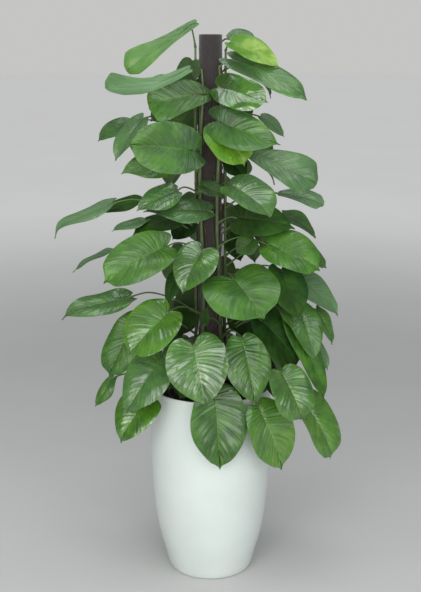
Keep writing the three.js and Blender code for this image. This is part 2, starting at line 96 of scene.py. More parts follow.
# %% Soft panels
MIDDLE = Vector((0, 0, 0.85))
PANELS = {
    "panel_front_low": ((0.0, -3.9, 0.95), 4.4, 1.8, 64, (1.0, 1.0, 0.98)),
    "panel_front_high": ((0.0, -3.3, 2.7), 3.0, 1.2, 38, (0.98, 0.99, 1.0)),
    "panel_front_left": ((-1.9, -3.0, 1.8), 1.6, 2.0, 30, (1.0, 0.99, 0.97)),
    "panel_right": ((2.4, -2.2, 1.7), 1.5, 1.8, 17, (0.95, 0.98, 1.0)),
    "panel_overhead": ((-0.1, -0.3, 3.4), 2.2, 1.8, 34, (0.96, 0.98, 1.0)),
}
for name, (place, width, height, watts, color) in PANELS.items():
    data = bpy.data.lights.new(name, "AREA")
    data.shape = "RECTANGLE"
    data.size, data.size_y = width, height
    data.energy, data.color = watts, color
    panel = bpy.data.objects.new(name, data)
    panel.location = place
    panel.rotation_euler = (MIDDLE - Vector(place)).to_track_quat("-Z", "Y").to_euler()
    panel.visible_camera = False
    bpy.context.collection.objects.link(panel)

# %% [markdown]
# ## Nodes in one line
# The room round the plant and every finish on it are graphs of nodes. These helpers keep the graphs
# short: each adds a node, gives it its values and joins it up in one line.

# %% Nodes in one line
def put(tree, kind, feeds=None, **settings):
    """Add a node, set it up, and give each of its inputs a socket or a plain value."""
    made = tree.nodes.new("ShaderNode" + kind)
    for key, value in settings.items():
        setattr(made, key, value)
    for key, value in (feeds or {}).items():
        if isinstance(value, bpy.types.NodeSocket):
            wire(tree, value, made.inputs[key])
        else:
            made.inputs[key].default_value = value
    return made


def wire(tree, socket, target):
    tree.links.new(socket, target)


def calculate(tree, operation, first, second=0.0):
    return put(tree, "Math", {0: first, 1: second}, operation=operation).outputs[0]


def times(tree, first, second):
    return calculate(tree, "MULTIPLY", first, second)


def times_plus(tree, first, second, third):
    feeds = {0: first, 1: second, 2: third}
    return put(tree, "Math", feeds, operation="MULTIPLY_ADD").outputs[0]


def stretch(tree, vector, factors):
    return put(tree, "VectorMath", {0: vector, 1: factors}, operation="MULTIPLY").outputs[0]


def between(tree, value, low, high, to_low=0.0, to_high=1.0):
    """The value, carried smoothly from the range low to high into another range."""
    feeds = {"Value": value, "From Min": low, "From Max": high, "To Min": to_low, "To Max": to_high}
    return put(tree, "MapRange", feeds, interpolation_type="SMOOTHSTEP").outputs["Result"]


def tint(tree, share, first, second):
    return put(tree, "Mix", {0: share, 6: first, 7: second}, data_type="RGBA").outputs[2]


def cloud(tree, place, detail, scale=1.0):
    feeds = {"Vector": place, "Scale": scale, "Detail": detail}
    return put(tree, "TexNoise", feeds).outputs["Fac"]


print("helpers for nodes: put, wire, calculate, times, stretch, between, tint, cloud")

# %% [markdown]
# ## The room
# The world is a plain room without corners. It is dim, because most light comes from the panels,
# but a low band at the horizon is as pale as the floor is far away, so that no line shows where
# the two meet.

# %% A plain room
FAR_AWAY = (0.56, 0.56, 0.555, 1)
LOW_WALL = (0.17, 0.175, 0.18, 1)
CEILING = (0.33, 0.34, 0.35, 1)
world = bpy.data.worlds.new("pale_room")
world.use_nodes = True
room = world.node_tree
upward = put(room, "SeparateXYZ", {0: put(room, "TexCoord").outputs["Generated"]}).outputs["Z"]


def blend_up(start, stop, low, high):
    """The colour changes from low to high where the view rises from start to stop."""
    climb = put(room, "MapRange", {"Value": upward, "From Min": start, "From Max": stop})
    return tint(room, climb.outputs["Result"], low, high)


walls = blend_up(0.2, 0.7, LOW_WALL, CEILING)
wire(room, blend_up(0.034, 0.06, FAR_AWAY, walls), room.nodes["Background"].inputs["Color"])
bpy.context.scene.world = world
bpy.context.scene.view_settings.view_transform = "Standard"
print("world nodes:", len(room.nodes))

# %% [markdown]
# ## A drift of tone that every finish shares
# Nothing that grew or was used has one even colour. The same effect serves all of them: two sizes
# of cloudy noise, one for slow drifts and one for small flecks. It is a node group, built once and
# placed in each finish with its own sizes.

# %% The shared group "tone_drift"
def group_named(name, inputs, outputs):
    tree = bpy.data.node_groups.new(name, "ShaderNodeTree")
    for socket, kind, value in inputs:
        made = tree.interface.new_socket(socket, in_out="INPUT", socket_type="NodeSocket" + kind)
        if value is not None:
            made.default_value = value
    for socket in outputs:
        tree.interface.new_socket(socket, in_out="OUTPUT", socket_type="NodeSocketFloat")
    return tree, tree.nodes.new("NodeGroupInput"), tree.nodes.new("NodeGroupOutput")


drift_inputs = [
    ("Place", "Vector", None),
    ("Seed", "Float", 0.0),
    ("Drift size", "Float", 12.0),
    ("Fleck size", "Float", 300.0),
]
drift_tree, given, taken = group_named("tone_drift", drift_inputs, ["Drift", "Flecks"])
feeds = {0: given.outputs["Place"], 1: given.outputs["Seed"]}
shifted = put(drift_tree, "VectorMath", feeds, operation="ADD").outputs[0]
for size, detail, roughness, mask in (
    ("Drift size", 3.0, 0.55, "Drift"),
    ("Fleck size", 2.0, 0.6, "Flecks"),
):
    feeds = {"Vector": shifted, "Scale": given.outputs[size]}
    feeds |= {"Detail": detail, "Roughness": roughness}
    cloudy = put(drift_tree, "TexNoise", feeds).outputs["Fac"]
    wire(drift_tree, between(drift_tree, cloudy, 0.3, 0.7), taken.inputs[mask])


def drift(tree, place, drift_size, fleck_size, seed=0.0):
    feeds = {"Place": place, "Seed": seed, "Drift size": drift_size, "Fleck size": fleck_size}
    return put(tree, "Group", feeds, node_tree=drift_tree).outputs


print("group:", drift_tree.name, "with", len(drift_tree.nodes), "nodes")

# %% [markdown]
# ## Starting a finish
# Each finish is one material with the usual shader. What stays the same all over goes straight on
# the shader's own sockets. What changes over the surface, such as colour, roughness and the small
# bumps, is joined to it afterwards.

# %% Starting a finish
def finish_named(name, **fixed):
    """A new material. The fixed values go straight on its shader's own sockets."""
    material = bpy.data.materials.new(name)
    material.use_nodes = True
    tree = material.node_tree
    shader = tree.nodes["Principled BSDF"]
    for key, value in fixed.items():
        shader.inputs[key.replace("_", " ")].default_value = value
    return material, tree, shader


def dress(tree, shader, **looks):
    """Join up the shader's inputs that change over the surface."""
    for key, socket in looks.items():
        wire(tree, socket, shader.inputs[key.replace("_", " ")])


def roughen(tree, shader, height, distance, strength):
    feeds = {"Height": height, "Distance": distance, "Strength": strength}
    dress(tree, shader, Normal=put(tree, "Bump", feeds).outputs["Normal"])


def place_in(tree):
    return put(tree, "TexCoord").outputs["Object"]


def facts_in(tree):
    """The four numbers that the mesh carries at each of its points."""
    facts = put(tree, "Attribute", attribute_name="facts")
    parts = put(tree, "SeparateColor", {0: facts.outputs["Color"]})
    return list(parts.outputs)[:3] + [facts.outputs["Alpha"]]


print("finishes so far:", len(bpy.data.materials))

# %% [markdown]
# ## The floor
# A plain pale floor takes the soft shadow that tells the eye the planter stands on something. A
# wide disc is enough. The panels only reach the middle of it, so beyond that it glows faintly, as
# if the same soft light went on and on. A slight drift in tone keeps it from looking like paper.

# %% Floor
FLOOR_RADIUS = 40.0
FLOOR_SIDES = 96
FLOOR_DROP = 0.5 * MM
FAR_GLOW = tuple(0.63 * x for x in FAR_AWAY[:3]) + (1,)
floor_material, tree, shader = finish_named("pale_floor", Roughness=0.75, Emission_Strength=1.0)
here = place_in(tree)
drifts, _ = drift(tree, here, 0.8, 40.0)
distance = put(tree, "VectorMath", {0: here}, operation="LENGTH").outputs["Value"]
dress(
    tree, shader,
    Base_Color=tint(tree, drifts, (0.60, 0.595, 0.585, 1), (0.64, 0.635, 0.625, 1)),
    Emission_Color=tint(tree, between(tree, distance, 1.2, 6.5), (0, 0, 0, 1), FAR_GLOW),
)
floor_material.cycles.emission_sampling = "NONE"
turns = np.linspace(0, 2 * np.pi, FLOOR_SIDES, endpoint=False)
ring = np.stack([np.cos(turns), np.sin(turns), 0 * turns], 1) * FLOOR_RADIUS
floor_mesh = bpy.data.meshes.new("floor")
floor_mesh.from_pydata((ring - (0, 0, FLOOR_DROP)).tolist(), [], [tuple(range(FLOOR_SIDES))])
floor_mesh.materials.append(floor_material)
floor = bpy.data.objects.new("floor", floor_mesh)
bpy.context.collection.objects.link(floor)
print("floor across:", 2 * FLOOR_RADIUS, "m")

# %% [markdown]
# ## From points to a piece
# Every mesh here is worked out as points and faces and then handed to Blender in one go. This
# helper collects them and makes them into a piece of the plant. Each point also carries four
# numbers, its facts, which the finishes read.

# %% From points and faces to a piece
class Shape:
    """Points, faces, a flat map of each face, and one row of facts for each point."""

    def __init__(self):
        self.points, self.facts = [], []
        self.faces, self.map, self.finish = [], [], []
        self.count = 0

    def add(self, points, faces, flat_map, finish=0, facts=(0, 0, 0, 0)):
        points = np.asarray(points, float).reshape(-1, 3)
        facts = np.broadcast_to(np.asarray(facts, float), (len(points), 4))
        self.points.append(points)
        self.facts.append(facts)
        self.faces += [tuple(corner + self.count for corner in face) for face in faces]
        self.map += flat_map
        self.finish += [finish] * len(faces)
        self.count += len(points)

    def piece(self, name, materials, sharp=60):
        mesh = bpy.data.meshes.new(name)
        mesh.from_pydata(np.concatenate(self.points).tolist(), [], self.faces)
        flat = mesh.uv_layers.new(name="flat_map")
        flat.uv.foreach_set("vector", np.array(self.map, np.float32).ravel())
        facts = mesh.attributes.new("facts", "FLOAT_COLOR", "POINT")
        facts.data.foreach_set("color", np.concatenate(self.facts).astype(np.float32).ravel())
        mesh.polygons.foreach_set("material_index", np.array(self.finish, np.int32))
        mesh.polygons.foreach_set("use_smooth", np.ones(len(self.faces), bool))
        mesh.set_sharp_from_angle(angle=math.radians(sharp))
        for material in materials:
            mesh.materials.append(material)
        made = bpy.data.objects.new(name, mesh)
        bpy.context.collection.objects.link(made)
        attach(made, "root")
        print(f"{name}: {len(mesh.vertices)} points, {len(mesh.polygons)} faces")
        return made


# %% [markdown]
# ## The planter
# The planter is a tall tub with a satin skin: a narrow foot with a rounded edge, a belly that
# swells up to two thirds of the height, and straight walls that end in a plain rim. It could be a
# solid with a bevel and a subdivision, but a shape that was turned is best turned again: one
# profile, smoothed by a curve through its points, spun round the axis in many steps.

# %% A smooth curve through points
def cubic(b, c, start, stop, w):
    """The curve from b to c that leaves along start and arrives along stop, at the shares w."""
    bend = 3 * c - 3 * b - 2 * start - stop
    return (2 * b - 2 * c + start + stop) * w**3 + bend * w**2 + start * w + b


def through(points, count):
    """A centripetal Catmull-Rom curve, sampled evenly in its parameter."""
    points = np.asarray(points, float)
    ends = [2 * points[0] - points[1]], [2 * points[-1] - points[-2]]
    chain = np.concatenate([ends[0], points, ends[1]])
    place = np.linspace(0, len(points) - 1, count)
    piece = np.minimum(place.astype(int), len(points) - 2)
    a, b, c, d = (chain[piece + k] for k in range(4))
    step = [np.maximum(np.linalg.norm(q - p, axis=1), 1e-9)[:, None] ** 0.5
            for p, q in ((a, b), (b, c), (c, d))]
    start = (b - a) / step[0] - (c - a) / (step[0] + step[1]) + (c - b) / step[1]
    stop = (c - b) / step[1] - (d - b) / (step[1] + step[2]) + (d - c) / step[2]
    return cubic(b, c, start * step[1], stop * step[1], (place - piece)[:, None])


print("the middle of a bend:", through([(0, 0), (1, 0), (1, 1)], 5)[2])

# %% Turned bodies
def skin_of(rows, sides, steps, capped=True):
    """Faces and flat map for rings of points. Capped, two more points close the ends."""
    faces, flat = [], []
    for row in range(rows - 1 if capped else rows):
        here, there = row * sides, (row + 1) % rows * sides
        low, high = row / steps, (row + 1) / steps
        for side in range(sides):
            beside = (side + 1) % sides
            faces.append((here + side, here + beside, there + beside, there + side))
            left, right = side / sides, (side + 1) / sides
            flat += [(left, low), (right, low), (right, high), (left, high)]
    if capped:
        first, top = rows * sides, (rows - 1) * sides
        for side in range(sides):
            beside = (side + 1) % sides
            faces += [(first, beside, side), (first + 1, top + side, top + beside)]
            flat += [(0.5, 0), (1, 0), (0, 0), (0.5, 1), (0, 1), (1, 1)]
    return faces, flat


def round_axis(radius, angle, height):
    """Points at these distances, directions and heights from the upright axis."""
    return np.stack([radius * np.cos(angle), radius * np.sin(angle), height], -1)


def turned(shape, profile, sides, capped=True):
    """A closed body from [radius, height] points. Capped, it starts and ends on the axis."""
    profile = np.asarray(profile, float)
    inner = profile[1:-1] if capped else profile
    angle = np.linspace(0, 2 * np.pi, sides, endpoint=False)
    radius, height = inner[:, :1], np.repeat(inner[:, 1:], sides, 1)
    points = round_axis(radius, angle, height).reshape(-1, 3)
    if capped:
        points = np.concatenate([points, [[0, 0, profile[0, 1]], [0, 0, profile[-1, 1]]]])
    shape.add(points, *skin_of(len(inner), sides, len(inner), capped))


print("faces of a capped tube of three rings:", len(skin_of(3, 8, 2)[0]))

# %% The planter's profile
POT_RADIUS = 162
POT_TOP = 520
POT_WALL = 5
POT_FLOOR = 9
INNER_FOOT = 60
RIM_MIDDLE, RIM_ROUND = 158.6, 2.4
POT_OUTER = [
    (112, 4), (116, 14), (124, 45), (138, 97), (150, 166), (158.5, 254),
    (POT_RADIUS, 340), (POT_RADIUS, 430), (161, 512),
]
outer = through(POT_OUTER, 60)
foot = [(0, 1.5), (96, 1.5), (101, 0), (107, 0), (110.5, 1.6)]
rim = [
    (RIM_MIDDLE + RIM_ROUND * math.cos(a), POT_TOP - RIM_ROUND + RIM_ROUND * math.sin(a))
    for a in np.linspace(0, np.pi, 9)
]
inner_wall = [(radius - POT_WALL, height) for radius, height in outer[::-3] if height > INNER_FOOT]
profile = foot + outer.tolist() + rim + inner_wall + [(105, POT_FLOOR), (0, POT_FLOOR)]
planter = Shape()
turned(planter, np.array(profile) * MM, 160)
print("points in the planter:", planter.count)

# %% [markdown]
# The skin is smooth and pale with a hint of cool green, and it is not quite even: it drifts a
# little in tone, it carries a breath of dust near the foot and it has tiny pits from its mould.
# These are all small, so the colour only moves by a few parts in a hundred.

# %% The planter's skin
planter_skin, tree, shader = finish_named(
    "planter_skin", Specular_IOR_Level=0.5, Coat_Weight=0.25, Coat_Roughness=0.12
)
here = place_in(tree)
drifts, flecks = drift(tree, here, 7.0, 260.0)
height = put(tree, "SeparateXYZ", {0: here}).outputs["Z"]
dust = times(tree, between(tree, height, 0.10, 0.0), flecks)
pale = tint(tree, drifts, (0.620, 0.686, 0.655, 1), (0.660, 0.720, 0.690, 1))
dusty = tint(tree, times(tree, dust, 0.10), pale, (0.47, 0.44, 0.39, 1))
dress(tree, shader, Base_Color=dusty, Roughness=between(tree, flecks, 0.0, 1.0, 0.30, 0.38))
roughen(tree, shader, flecks, 0.0002, 0.12)
pot = planter.piece("planter", [planter_skin], sharp=40)
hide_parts("pot")

# %% [markdown]
# ## The soil
# Only a dark strip of it shows behind the rim, but from above it is the planter's whole top. It is
# damp potting mix: lumpy, near black, with bark chips and a few pale grains. The body is turned
# like the planter, its top is pushed up and down by noise, and the crumbs are small lumps with
# uneven faces that are sunk half into it.

# %% The body of the soil
SOIL_TOP = 490
SOIL_EDGE = 156.3
SOIL_GAP = 0.5
LUMPS = ((3.2, 55), (1.9, 140), (1.0, 300))
rings_out = np.linspace(0, 1, 34)[1:] ** 0.8


def soil_level(radius):
    return np.interp(radius, [0, 46, SOIL_EDGE - 20, SOIL_EDGE], [5, 5, 0, -6]) + SOIL_TOP


under = [(0, 9.3), (99, 9.3)]
for radius, height in outer[::4]:
    if INNER_FOOT < height < SOIL_TOP - 12:
        under.append((radius - POT_WALL - SOIL_GAP, height))
over = [(share * SOIL_EDGE, soil_level(share * SOIL_EDGE)) for share in rings_out[::-1]]
soil_shape = Shape()
turned(soil_shape, np.array(under + over + [(0, SOIL_TOP + 5)]) * MM, 120)
for point in soil_shape.points[0]:
    if point[2] > (SOIL_TOP - 8) * MM:
        fade = min(1.0, max(0.0, (SOIL_EDGE * MM - math.hypot(point[0], point[1])) / 0.006))
        spot = Vector(point)
        point[2] += sum(high * noise.noise(spot * often) for high, often in LUMPS) * MM * fade
print("points in the soil's body:", soil_shape.count)

# %% Crumbs and chips
CRUMBS = 900
PALE_GRAINS = 0.05
golden = (1 + 5**0.5) / 2
LUMP = np.array(
    [(-1, golden, 0), (1, golden, 0), (-1, -golden, 0), (1, -golden, 0), (0, -1, golden),
     (0, 1, golden), (0, -1, -golden), (0, 1, -golden), (golden, 0, -1), (golden, 0, 1),
     (-golden, 0, -1), (-golden, 0, 1)]
) / 1.9
LUMP_FACES = [
    (0, 11, 5), (0, 5, 1), (0, 1, 7), (0, 7, 10), (0, 10, 11), (1, 5, 9), (5, 11, 4), (11, 10, 2),
    (10, 7, 6), (7, 1, 8), (3, 9, 4), (3, 4, 2), (3, 2, 6), (3, 6, 8), (3, 8, 9), (4, 9, 5),
    (2, 4, 11), (6, 2, 10), (8, 6, 7), (9, 8, 1),
]
luck = np.random.default_rng(7)


def turned_by_chance(points):
    """The points turned to a random heading, for lumps that fell where they lie."""
    q = luck.normal(size=4)
    w, x, y, z = q / np.linalg.norm(q)
    turn = np.array(
        [(1 - 2 * (y * y + z * z), 2 * (x * y - z * w), 2 * (x * z + y * w)),
         (2 * (x * y + z * w), 1 - 2 * (x * x + z * z), 2 * (y * z - x * w)),
         (2 * (x * z - y * w), 2 * (y * z + x * w), 1 - 2 * (x * x + y * y))]
    )
    return points @ turn.T


for crumb in range(CRUMBS):
    out = SOIL_EDGE * 0.955 * luck.random() ** 0.5
    around = luck.random() * 2 * np.pi
    size = luck.uniform(1.2, 3.0) if luck.random() < 0.8 else luck.uniform(3.0, 6.0)
    flat_lump = LUMP * luck.uniform(0.75, 1.25, (12, 1)) * (1.0, luck.uniform(0.5, 0.9), 0.5)
    lump = turned_by_chance(flat_lump * size)
    lump += (out * math.cos(around), out * math.sin(around), soil_level(out) + 0.3 * size)
    pale_grain = 1.0 if luck.random() < PALE_GRAINS else 0.0
    facts = (luck.random(), pale_grain, 0, luck.random())
    soil_shape.add(lump * MM, LUMP_FACES, [(0, 0), (1, 0), (0.5, 1)] * 20, 0, facts)
print("crumbs:", CRUMBS, "points with them:", soil_shape.count)

# %% The soil's finish
soil_finish, tree, shader = finish_named("potting_mix", Specular_IOR_Level=0.25)
drifts, flecks = drift(tree, place_in(tree), 60.0, 700.0)
bark, grit, _, _ = facts_in(tree)
dark = tint(tree, drifts, (0.010, 0.007, 0.005, 1), (0.030, 0.021, 0.015, 1))
barky = tint(tree, times(tree, bark, 0.5), dark, (0.085, 0.048, 0.027, 1))
grainy = tint(tree, grit, barky, (0.42, 0.40, 0.36, 1))
speckled = tint(tree, times(tree, flecks, 0.35), grainy, (0.004, 0.003, 0.002, 1))
dress(tree, shader, Base_Color=speckled, Roughness=between(tree, drifts, 0.0, 1.0, 0.97, 0.72))
roughen(tree, shader, flecks, 0.0012, 0.6)
soil = soil_shape.piece("soil_with_crumbs", [soil_finish], sharp=35)
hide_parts("soil")

# %% [markdown]
# ## The stake
# The stake is a plain round length of wood inside the fibre. Only its sawn top shows. The packed
# solid has the right form, so it stays and only gets a finish: rings round its axis, stretched
# grain along it, and a few dark checks.

# %% Stake wood
stake_wood, tree, shader = finish_named("stake_wood", Roughness=0.8, Specular_IOR_Level=0.3)
here = place_in(tree)
rings = put(
    tree,
    "TexWave",
    {"Vector": here, "Scale": 90.0, "Distortion": 2.2, "Detail": 3.0, "Detail Scale": 2.0},
    wave_type="RINGS",
    rings_direction="Z",
)
grain = cloud(tree, stretch(tree, here, (420.0, 420.0, 14.0)), 4.0)
woody = tint(tree, rings.outputs["Fac"], (0.16, 0.095, 0.05, 1), (0.33, 0.22, 0.13, 1))
dress(tree, shader, Base_Color=tint(tree, grain, woody, (0.11, 0.065, 0.035, 1)))
roughen(tree, shader, grain, 0.0006, 0.5)
stake = frame["nodes"]["pole_stake"]
stake.data.materials.clear()
stake.data.materials.append(stake_wood)
print("finish of the stake:", stake_wood.name)

# %% [markdown]
# ## The fibre pole
# Brown-black coconut fibre is wound tightly round the stake. From a distance it is a dark, soft
# edged cylinder, and near by it is a mat of crossing hairs. A bumpy skin alone looks like rubber,
# and hairs alone let light through, so it has both: a skin that is uneven by half a millimetre and
# over a thousand short strands that lie along it, each with its ends a little free.

# %% The matted skin
POLE_RADIUS = 30
POLE_TOP = 1436
WRAP_FOOT = 330
WRAP_BORE = 22.5
WRAP_ROWS = 220
WRAP_SIDES = 72
heights = [*np.linspace(WRAP_FOOT, POLE_TOP - 2, WRAP_ROWS), POLE_TOP - 0.8, POLE_TOP - 0.4]
radii = [POLE_RADIUS - 0.9] * WRAP_ROWS + [POLE_RADIUS - 1.6, POLE_RADIUS - 4.0]
wrap_profile = list(zip(radii, heights)) + [(WRAP_BORE, POLE_TOP - 0.4), (WRAP_BORE, WRAP_FOOT)]
pole = Shape()
turned(pole, np.array(wrap_profile) * MM, WRAP_SIDES, capped=False)
for point in pole.points[0]:
    out = math.hypot(point[0], point[1])
    if out > (WRAP_BORE + 0.1) * MM:
        around = math.atan2(point[1], point[0])
        spot = Vector((math.cos(around) * 7, math.sin(around) * 7, point[2] * 160))
        rise = 0.45 * noise.noise(spot) + 0.35 * noise.noise(spot * 2.7)
        point[:2] *= 1 + rise * MM / out
print("points in the matted skin:", pole.count)

# %% Tubes along a line
def unit(vector):
    return vector / np.linalg.norm(vector)


def tube(shape, line, radii, sides, finish=0, facts=(0, 0, 0, 0)):
    """A closed tube that follows a line of points; radii and facts may change along it."""
    line = np.asarray(line, float)
    count = len(line)
    radii = np.broadcast_to(radii, (count,))
    heading = np.gradient(line, axis=0)
    heading /= np.maximum(np.linalg.norm(heading, axis=1, keepdims=True), 1e-12)
    side = unit(np.cross(heading[0], (0.31, 0.95, 0.05)))
    angle = np.linspace(0, 2 * np.pi, sides, endpoint=False)
    points = []
    for spot, ahead, radius in zip(line, heading, radii):
        side = unit(side - ahead * (side @ ahead))
        third = np.cross(ahead, side)
        ring = np.cos(angle)[:, None] * side + np.sin(angle)[:, None] * third
        points.append(spot + radius * ring)
    points = np.concatenate(points + [line[:1], line[-1:]])
    facts = np.asarray(facts, float)
    if facts.ndim == 2:
        facts = np.concatenate([np.repeat(facts, sides, 0), facts[:1], facts[-1:]])
    shape.add(points, *skin_of(count, sides, count - 1), finish, facts)

# %% Loose strands
STRANDS = 1300
STRAND_FOOT = 500
luck = np.random.default_rng(11)
for strand in range(STRANDS):
    low = luck.uniform(STRAND_FOOT, POLE_TOP - 12)
    start = luck.uniform(0, 2 * np.pi)
    slope = luck.normal(0.0, 0.9)
    length = luck.uniform(12, 34)
    way = np.linspace(-0.5, 0.5, 6)
    rise = way * length * math.cos(slope)
    around = start + way * length * math.sin(slope) / POLE_RADIUS + 0.06 * np.sin(6 * way + start)
    height = np.clip(low + rise, STRAND_FOOT, POLE_TOP - 0.6)
    free = luck.uniform(0.0, 1.6) if luck.random() < 0.25 else 0.25
    out = POLE_RADIUS - 0.75 + luck.uniform(-0.2, 0.35) + free * np.abs(2 * way) ** 3
    line = round_axis(out, around, height)
    thick = luck.uniform(0.16, 0.34) * (1 - 0.5 * np.abs(2 * way) ** 2)
    tube(pole, line * MM, thick * MM, 3, 0, (luck.random(), 1, 0, luck.random()))
print("strands:", STRANDS, "points with them:", pole.count)

# %% [markdown]
# The finish has to stay dark without going flat: the matted skin is near-black, the fibre's own
# dark brown with painted shade for the hollows, the strands are warmer brown and partly painted
# lighter as the lit top layer, and it is dry, so that it scatters light and never shines.

# %% Fibre finish
pole_fibre, tree, shader = finish_named(
    "pole_fibre", Roughness=0.92, Specular_IOR_Level=0.2, Sheen_Weight=0.35, Sheen_Roughness=0.5
)
here = place_in(tree)
drifts, _ = drift(tree, here, 30.0, 900.0)
tone, is_strand, _, _ = facts_in(tree)
hair = cloud(tree, stretch(tree, here, (900.0, 900.0, 420.0)), 3.0)
mat = tint(tree, hair, (0.012, 0.010, 0.010, 1), (0.058, 0.049, 0.047, 1))
drifted = tint(tree, times(tree, drifts, 0.4), mat, (0.038, 0.032, 0.031, 1))
# The strands are painted lighter than the skin under them: their own tone at random, with painted
# light on the top layer and painted shade left in the hollows.
lit = times(tree, times(tree, tone, is_strand), 0.6)
dress(tree, shader, Base_Color=tint(tree, lit, drifted, (0.090, 0.074, 0.066, 1)))
roughen(tree, shader, hair, 0.0010, 0.8)
wrap = pole.piece("fibre_wrap", [pole_fibre])
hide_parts("pole_wrap")

# %% [markdown]
# ## A pothos leaf
# The blade is a heart: two lobes beside the notch where the stalk joins, its widest part a third of
# the way along, and a drawn-out drip tip. Many blades on this plant are eggs with small lobes, some
# are round and blunt, and a few at the top are narrow at the stalk and broadest near the end. None
# is flat. The midrib arches from end to end, the halves fold up from it, the margins curl down and
# wave, and the skin is corrugated along the side veins.
#
# A leaf could be a flat picture on a card, or a subdivided plane with a displacement. Here the
# rows of its mesh follow the side veins, so a vein is always a row of points. Six rows from vein to
# vein are enough for two rounded ridges, and the finish can draw its veins on exactly the same
# lines, because the rows are also the map's lines.

# %% The outline of half a blade, in six forms
OUTLINES = {
    "heart": [(0, 0), (-0.09, 0.2), (-0.12, 0.46), (-0.04, 0.78), (0.13, 0.96),
              (0.35, 1), (0.58, 0.85), (0.78, 0.52), (0.92, 0.18), (1, 0)],
    "round": [(0, 0), (-0.07, 0.18), (-0.09, 0.42), (-0.01, 0.7), (0.15, 0.92),
              (0.38, 1), (0.62, 0.94), (0.83, 0.67), (0.955, 0.25), (1, 0)],
    "lobed": [(0, 0), (-0.13, 0.16), (-0.22, 0.4), (-0.18, 0.7), (0.02, 0.94),
              (0.32, 1), (0.62, 0.88), (0.84, 0.56), (0.955, 0.22), (1, 0)],
    "egg": [(0, 0), (-0.05, 0.17), (-0.06, 0.38), (0.02, 0.63), (0.17, 0.87),
              (0.38, 1), (0.59, 0.89), (0.78, 0.55), (0.915, 0.2), (1, 0)],
    "strap": [(0, 0), (-0.09, 0.1), (-0.1, 0.24), (0.06, 0.32), (0.3, 0.38),
              (0.5, 0.58), (0.7, 0.9), (0.87, 0.94), (0.975, 0.5), (1, 0)],
    "spoon": [(0, 0), (-0.02, 0.14), (0.01, 0.3), (0.13, 0.45), (0.3, 0.62),
              (0.5, 0.82), (0.7, 0.98), (0.87, 0.9), (0.975, 0.48), (1, 0)],
}
DRIP = {"heart": 0.55, "egg": 0.55, "round": 0.75, "lobed": 0.75, "spoon": 0.30, "strap": 0.15}


def outline_at(form, t):
    """A form's edge at t from 0 at the notch to 1 at the tip, as (along, across)."""
    corners = np.array(OUTLINES[form], float)
    last = len(corners) - 1
    place = np.asarray(t, float) * last
    k = np.minimum(place.astype(int), last - 1)
    a, b = corners[np.maximum(k - 1, 0)], corners[k]
    c, d = corners[k + 1], corners[np.minimum(k + 2, last)]
    return cubic(b, c, (c - a) / 2, (d - b) / 2, (place - k)[..., None])


for form in OUTLINES:
    print(form, "is widest near", outline_at(form, 0.5).round(2))

# %% A leaf's own small shapes
def dice(seed):
    """The same seeded die as the model's, so that each leaf gets the same twist and wave."""
    state = seed * 7919 + 17
    most = 2147483647

    def draw(low, high):
        nonlocal state
        state = state * 16807 % most
        return low + (high - low) * state / most

    return draw


class Blade:
    """A bent, folded, waved sheet between the joint of its stalk and its tip."""

    def __init__(self, at, tip, width, roll, bend, number):
        draw = dice(number)
        self.at, self.tip = np.array(at, float) * MM, np.array(tip, float) * MM
        self.length = np.linalg.norm(self.tip - self.at)
        self.along = (self.tip - self.at) / self.length
        middle = (self.at + self.tip) / 2
        out_up = np.append(unit(middle[:2]), 1.0)
        face = unit(out_up - self.along * (out_up @ self.along))
        lean = math.radians(roll)
        self.face = face * math.cos(lean) + np.cross(self.along, face) * math.sin(lean)
        self.across = np.cross(self.along, self.face)
        self.half = width * MM / 2
        self.bend = math.radians(bend)
        self.twist = math.radians(draw(-14, 14))
        self.fold = math.radians(draw(8, 18))
        self.curl = draw(0.12, 0.3)
        self.wave = self.length * draw(0.012, 0.03)
        self.phase = draw(0, 2 * math.pi)

    def spots(self, u, v, t, lift=0.0):
        """Points of the sheet: u along the midrib, v across it, t along the outline."""
        u, v, t = np.broadcast_arrays(u, v, t)
        bend = self.bend
        arc = self.length * (bend / 2) / math.sin(bend / 2) / bend
        angle = (bend / 2 - bend * u)[..., None]
        forward = arc * (math.sin(bend / 2) - np.sin(angle))
        rise = arc * (np.cos(angle) - math.cos(bend / 2))
        up = self.face * np.cos(angle) - self.along * np.sin(angle)
        turn = (self.twist * (u - 0.5))[..., None]
        side = self.across * np.cos(turn) + up * np.sin(turn)
        normal = up * np.cos(turn) - self.across * np.sin(turn)
        out = np.abs(v)
        ripple = np.sin(3 * np.pi * t + self.phase + np.where(v < 0, 1.3, 0.0))
        height = out * self.half * math.sin(self.fold)
        height = height - 0.6 * self.curl * self.half * out**2.4 + self.wave * ripple * out**2
        flat = self.at + self.along * forward + self.face * rise
        aside = v * self.half * math.cos(self.fold)
        return flat + side * aside[..., None] + normal * (height + lift)[..., None]


throw = dice(1)
print("two throws for leaf 1:", round(throw(0, 1), 3), round(throw(0, 1), 3))

# %% The grid that follows the veins
VEINS = 10
ROWS = VEINS * 6
HALF_SHARES = np.array([0.03, 0.08, 0.18, 0.32, 0.48, 0.64, 0.80, 0.92, 1.0])
SHARES = np.concatenate([-HALF_SHARES[::-1], [0], HALF_SHARES])
COLUMNS = len(SHARES)
TIP_START, TIP_LENGTH = 0.865, 0.10
PLAIN_TIP = 0.2
row_share = np.arange(1, ROWS)[:, None] / ROWS
reach_out = np.abs(SHARES)[None, :]
ALONG_EDGE = row_share ** (1 / (0.5 + 0.6 * reach_out))


def vein_grid(form, drawn_out):
    """Where the rows and columns of a blade lie, as u along the midrib and v across it."""
    edge = outline_at(form, ALONG_EDGE)
    rib = 0.4 * ALONG_EDGE**2 + 0.6 * ALONG_EDGE
    u = rib + (edge[..., 0] - rib) * reach_out
    near_tip = np.clip((u - TIP_START) / TIP_LENGTH, 0, 1)
    drip = 1 - drawn_out * near_tip**2 * (3 - 2 * near_tip)
    return u, np.sign(SHARES)[None, :] * reach_out * edge[..., 1] * drip


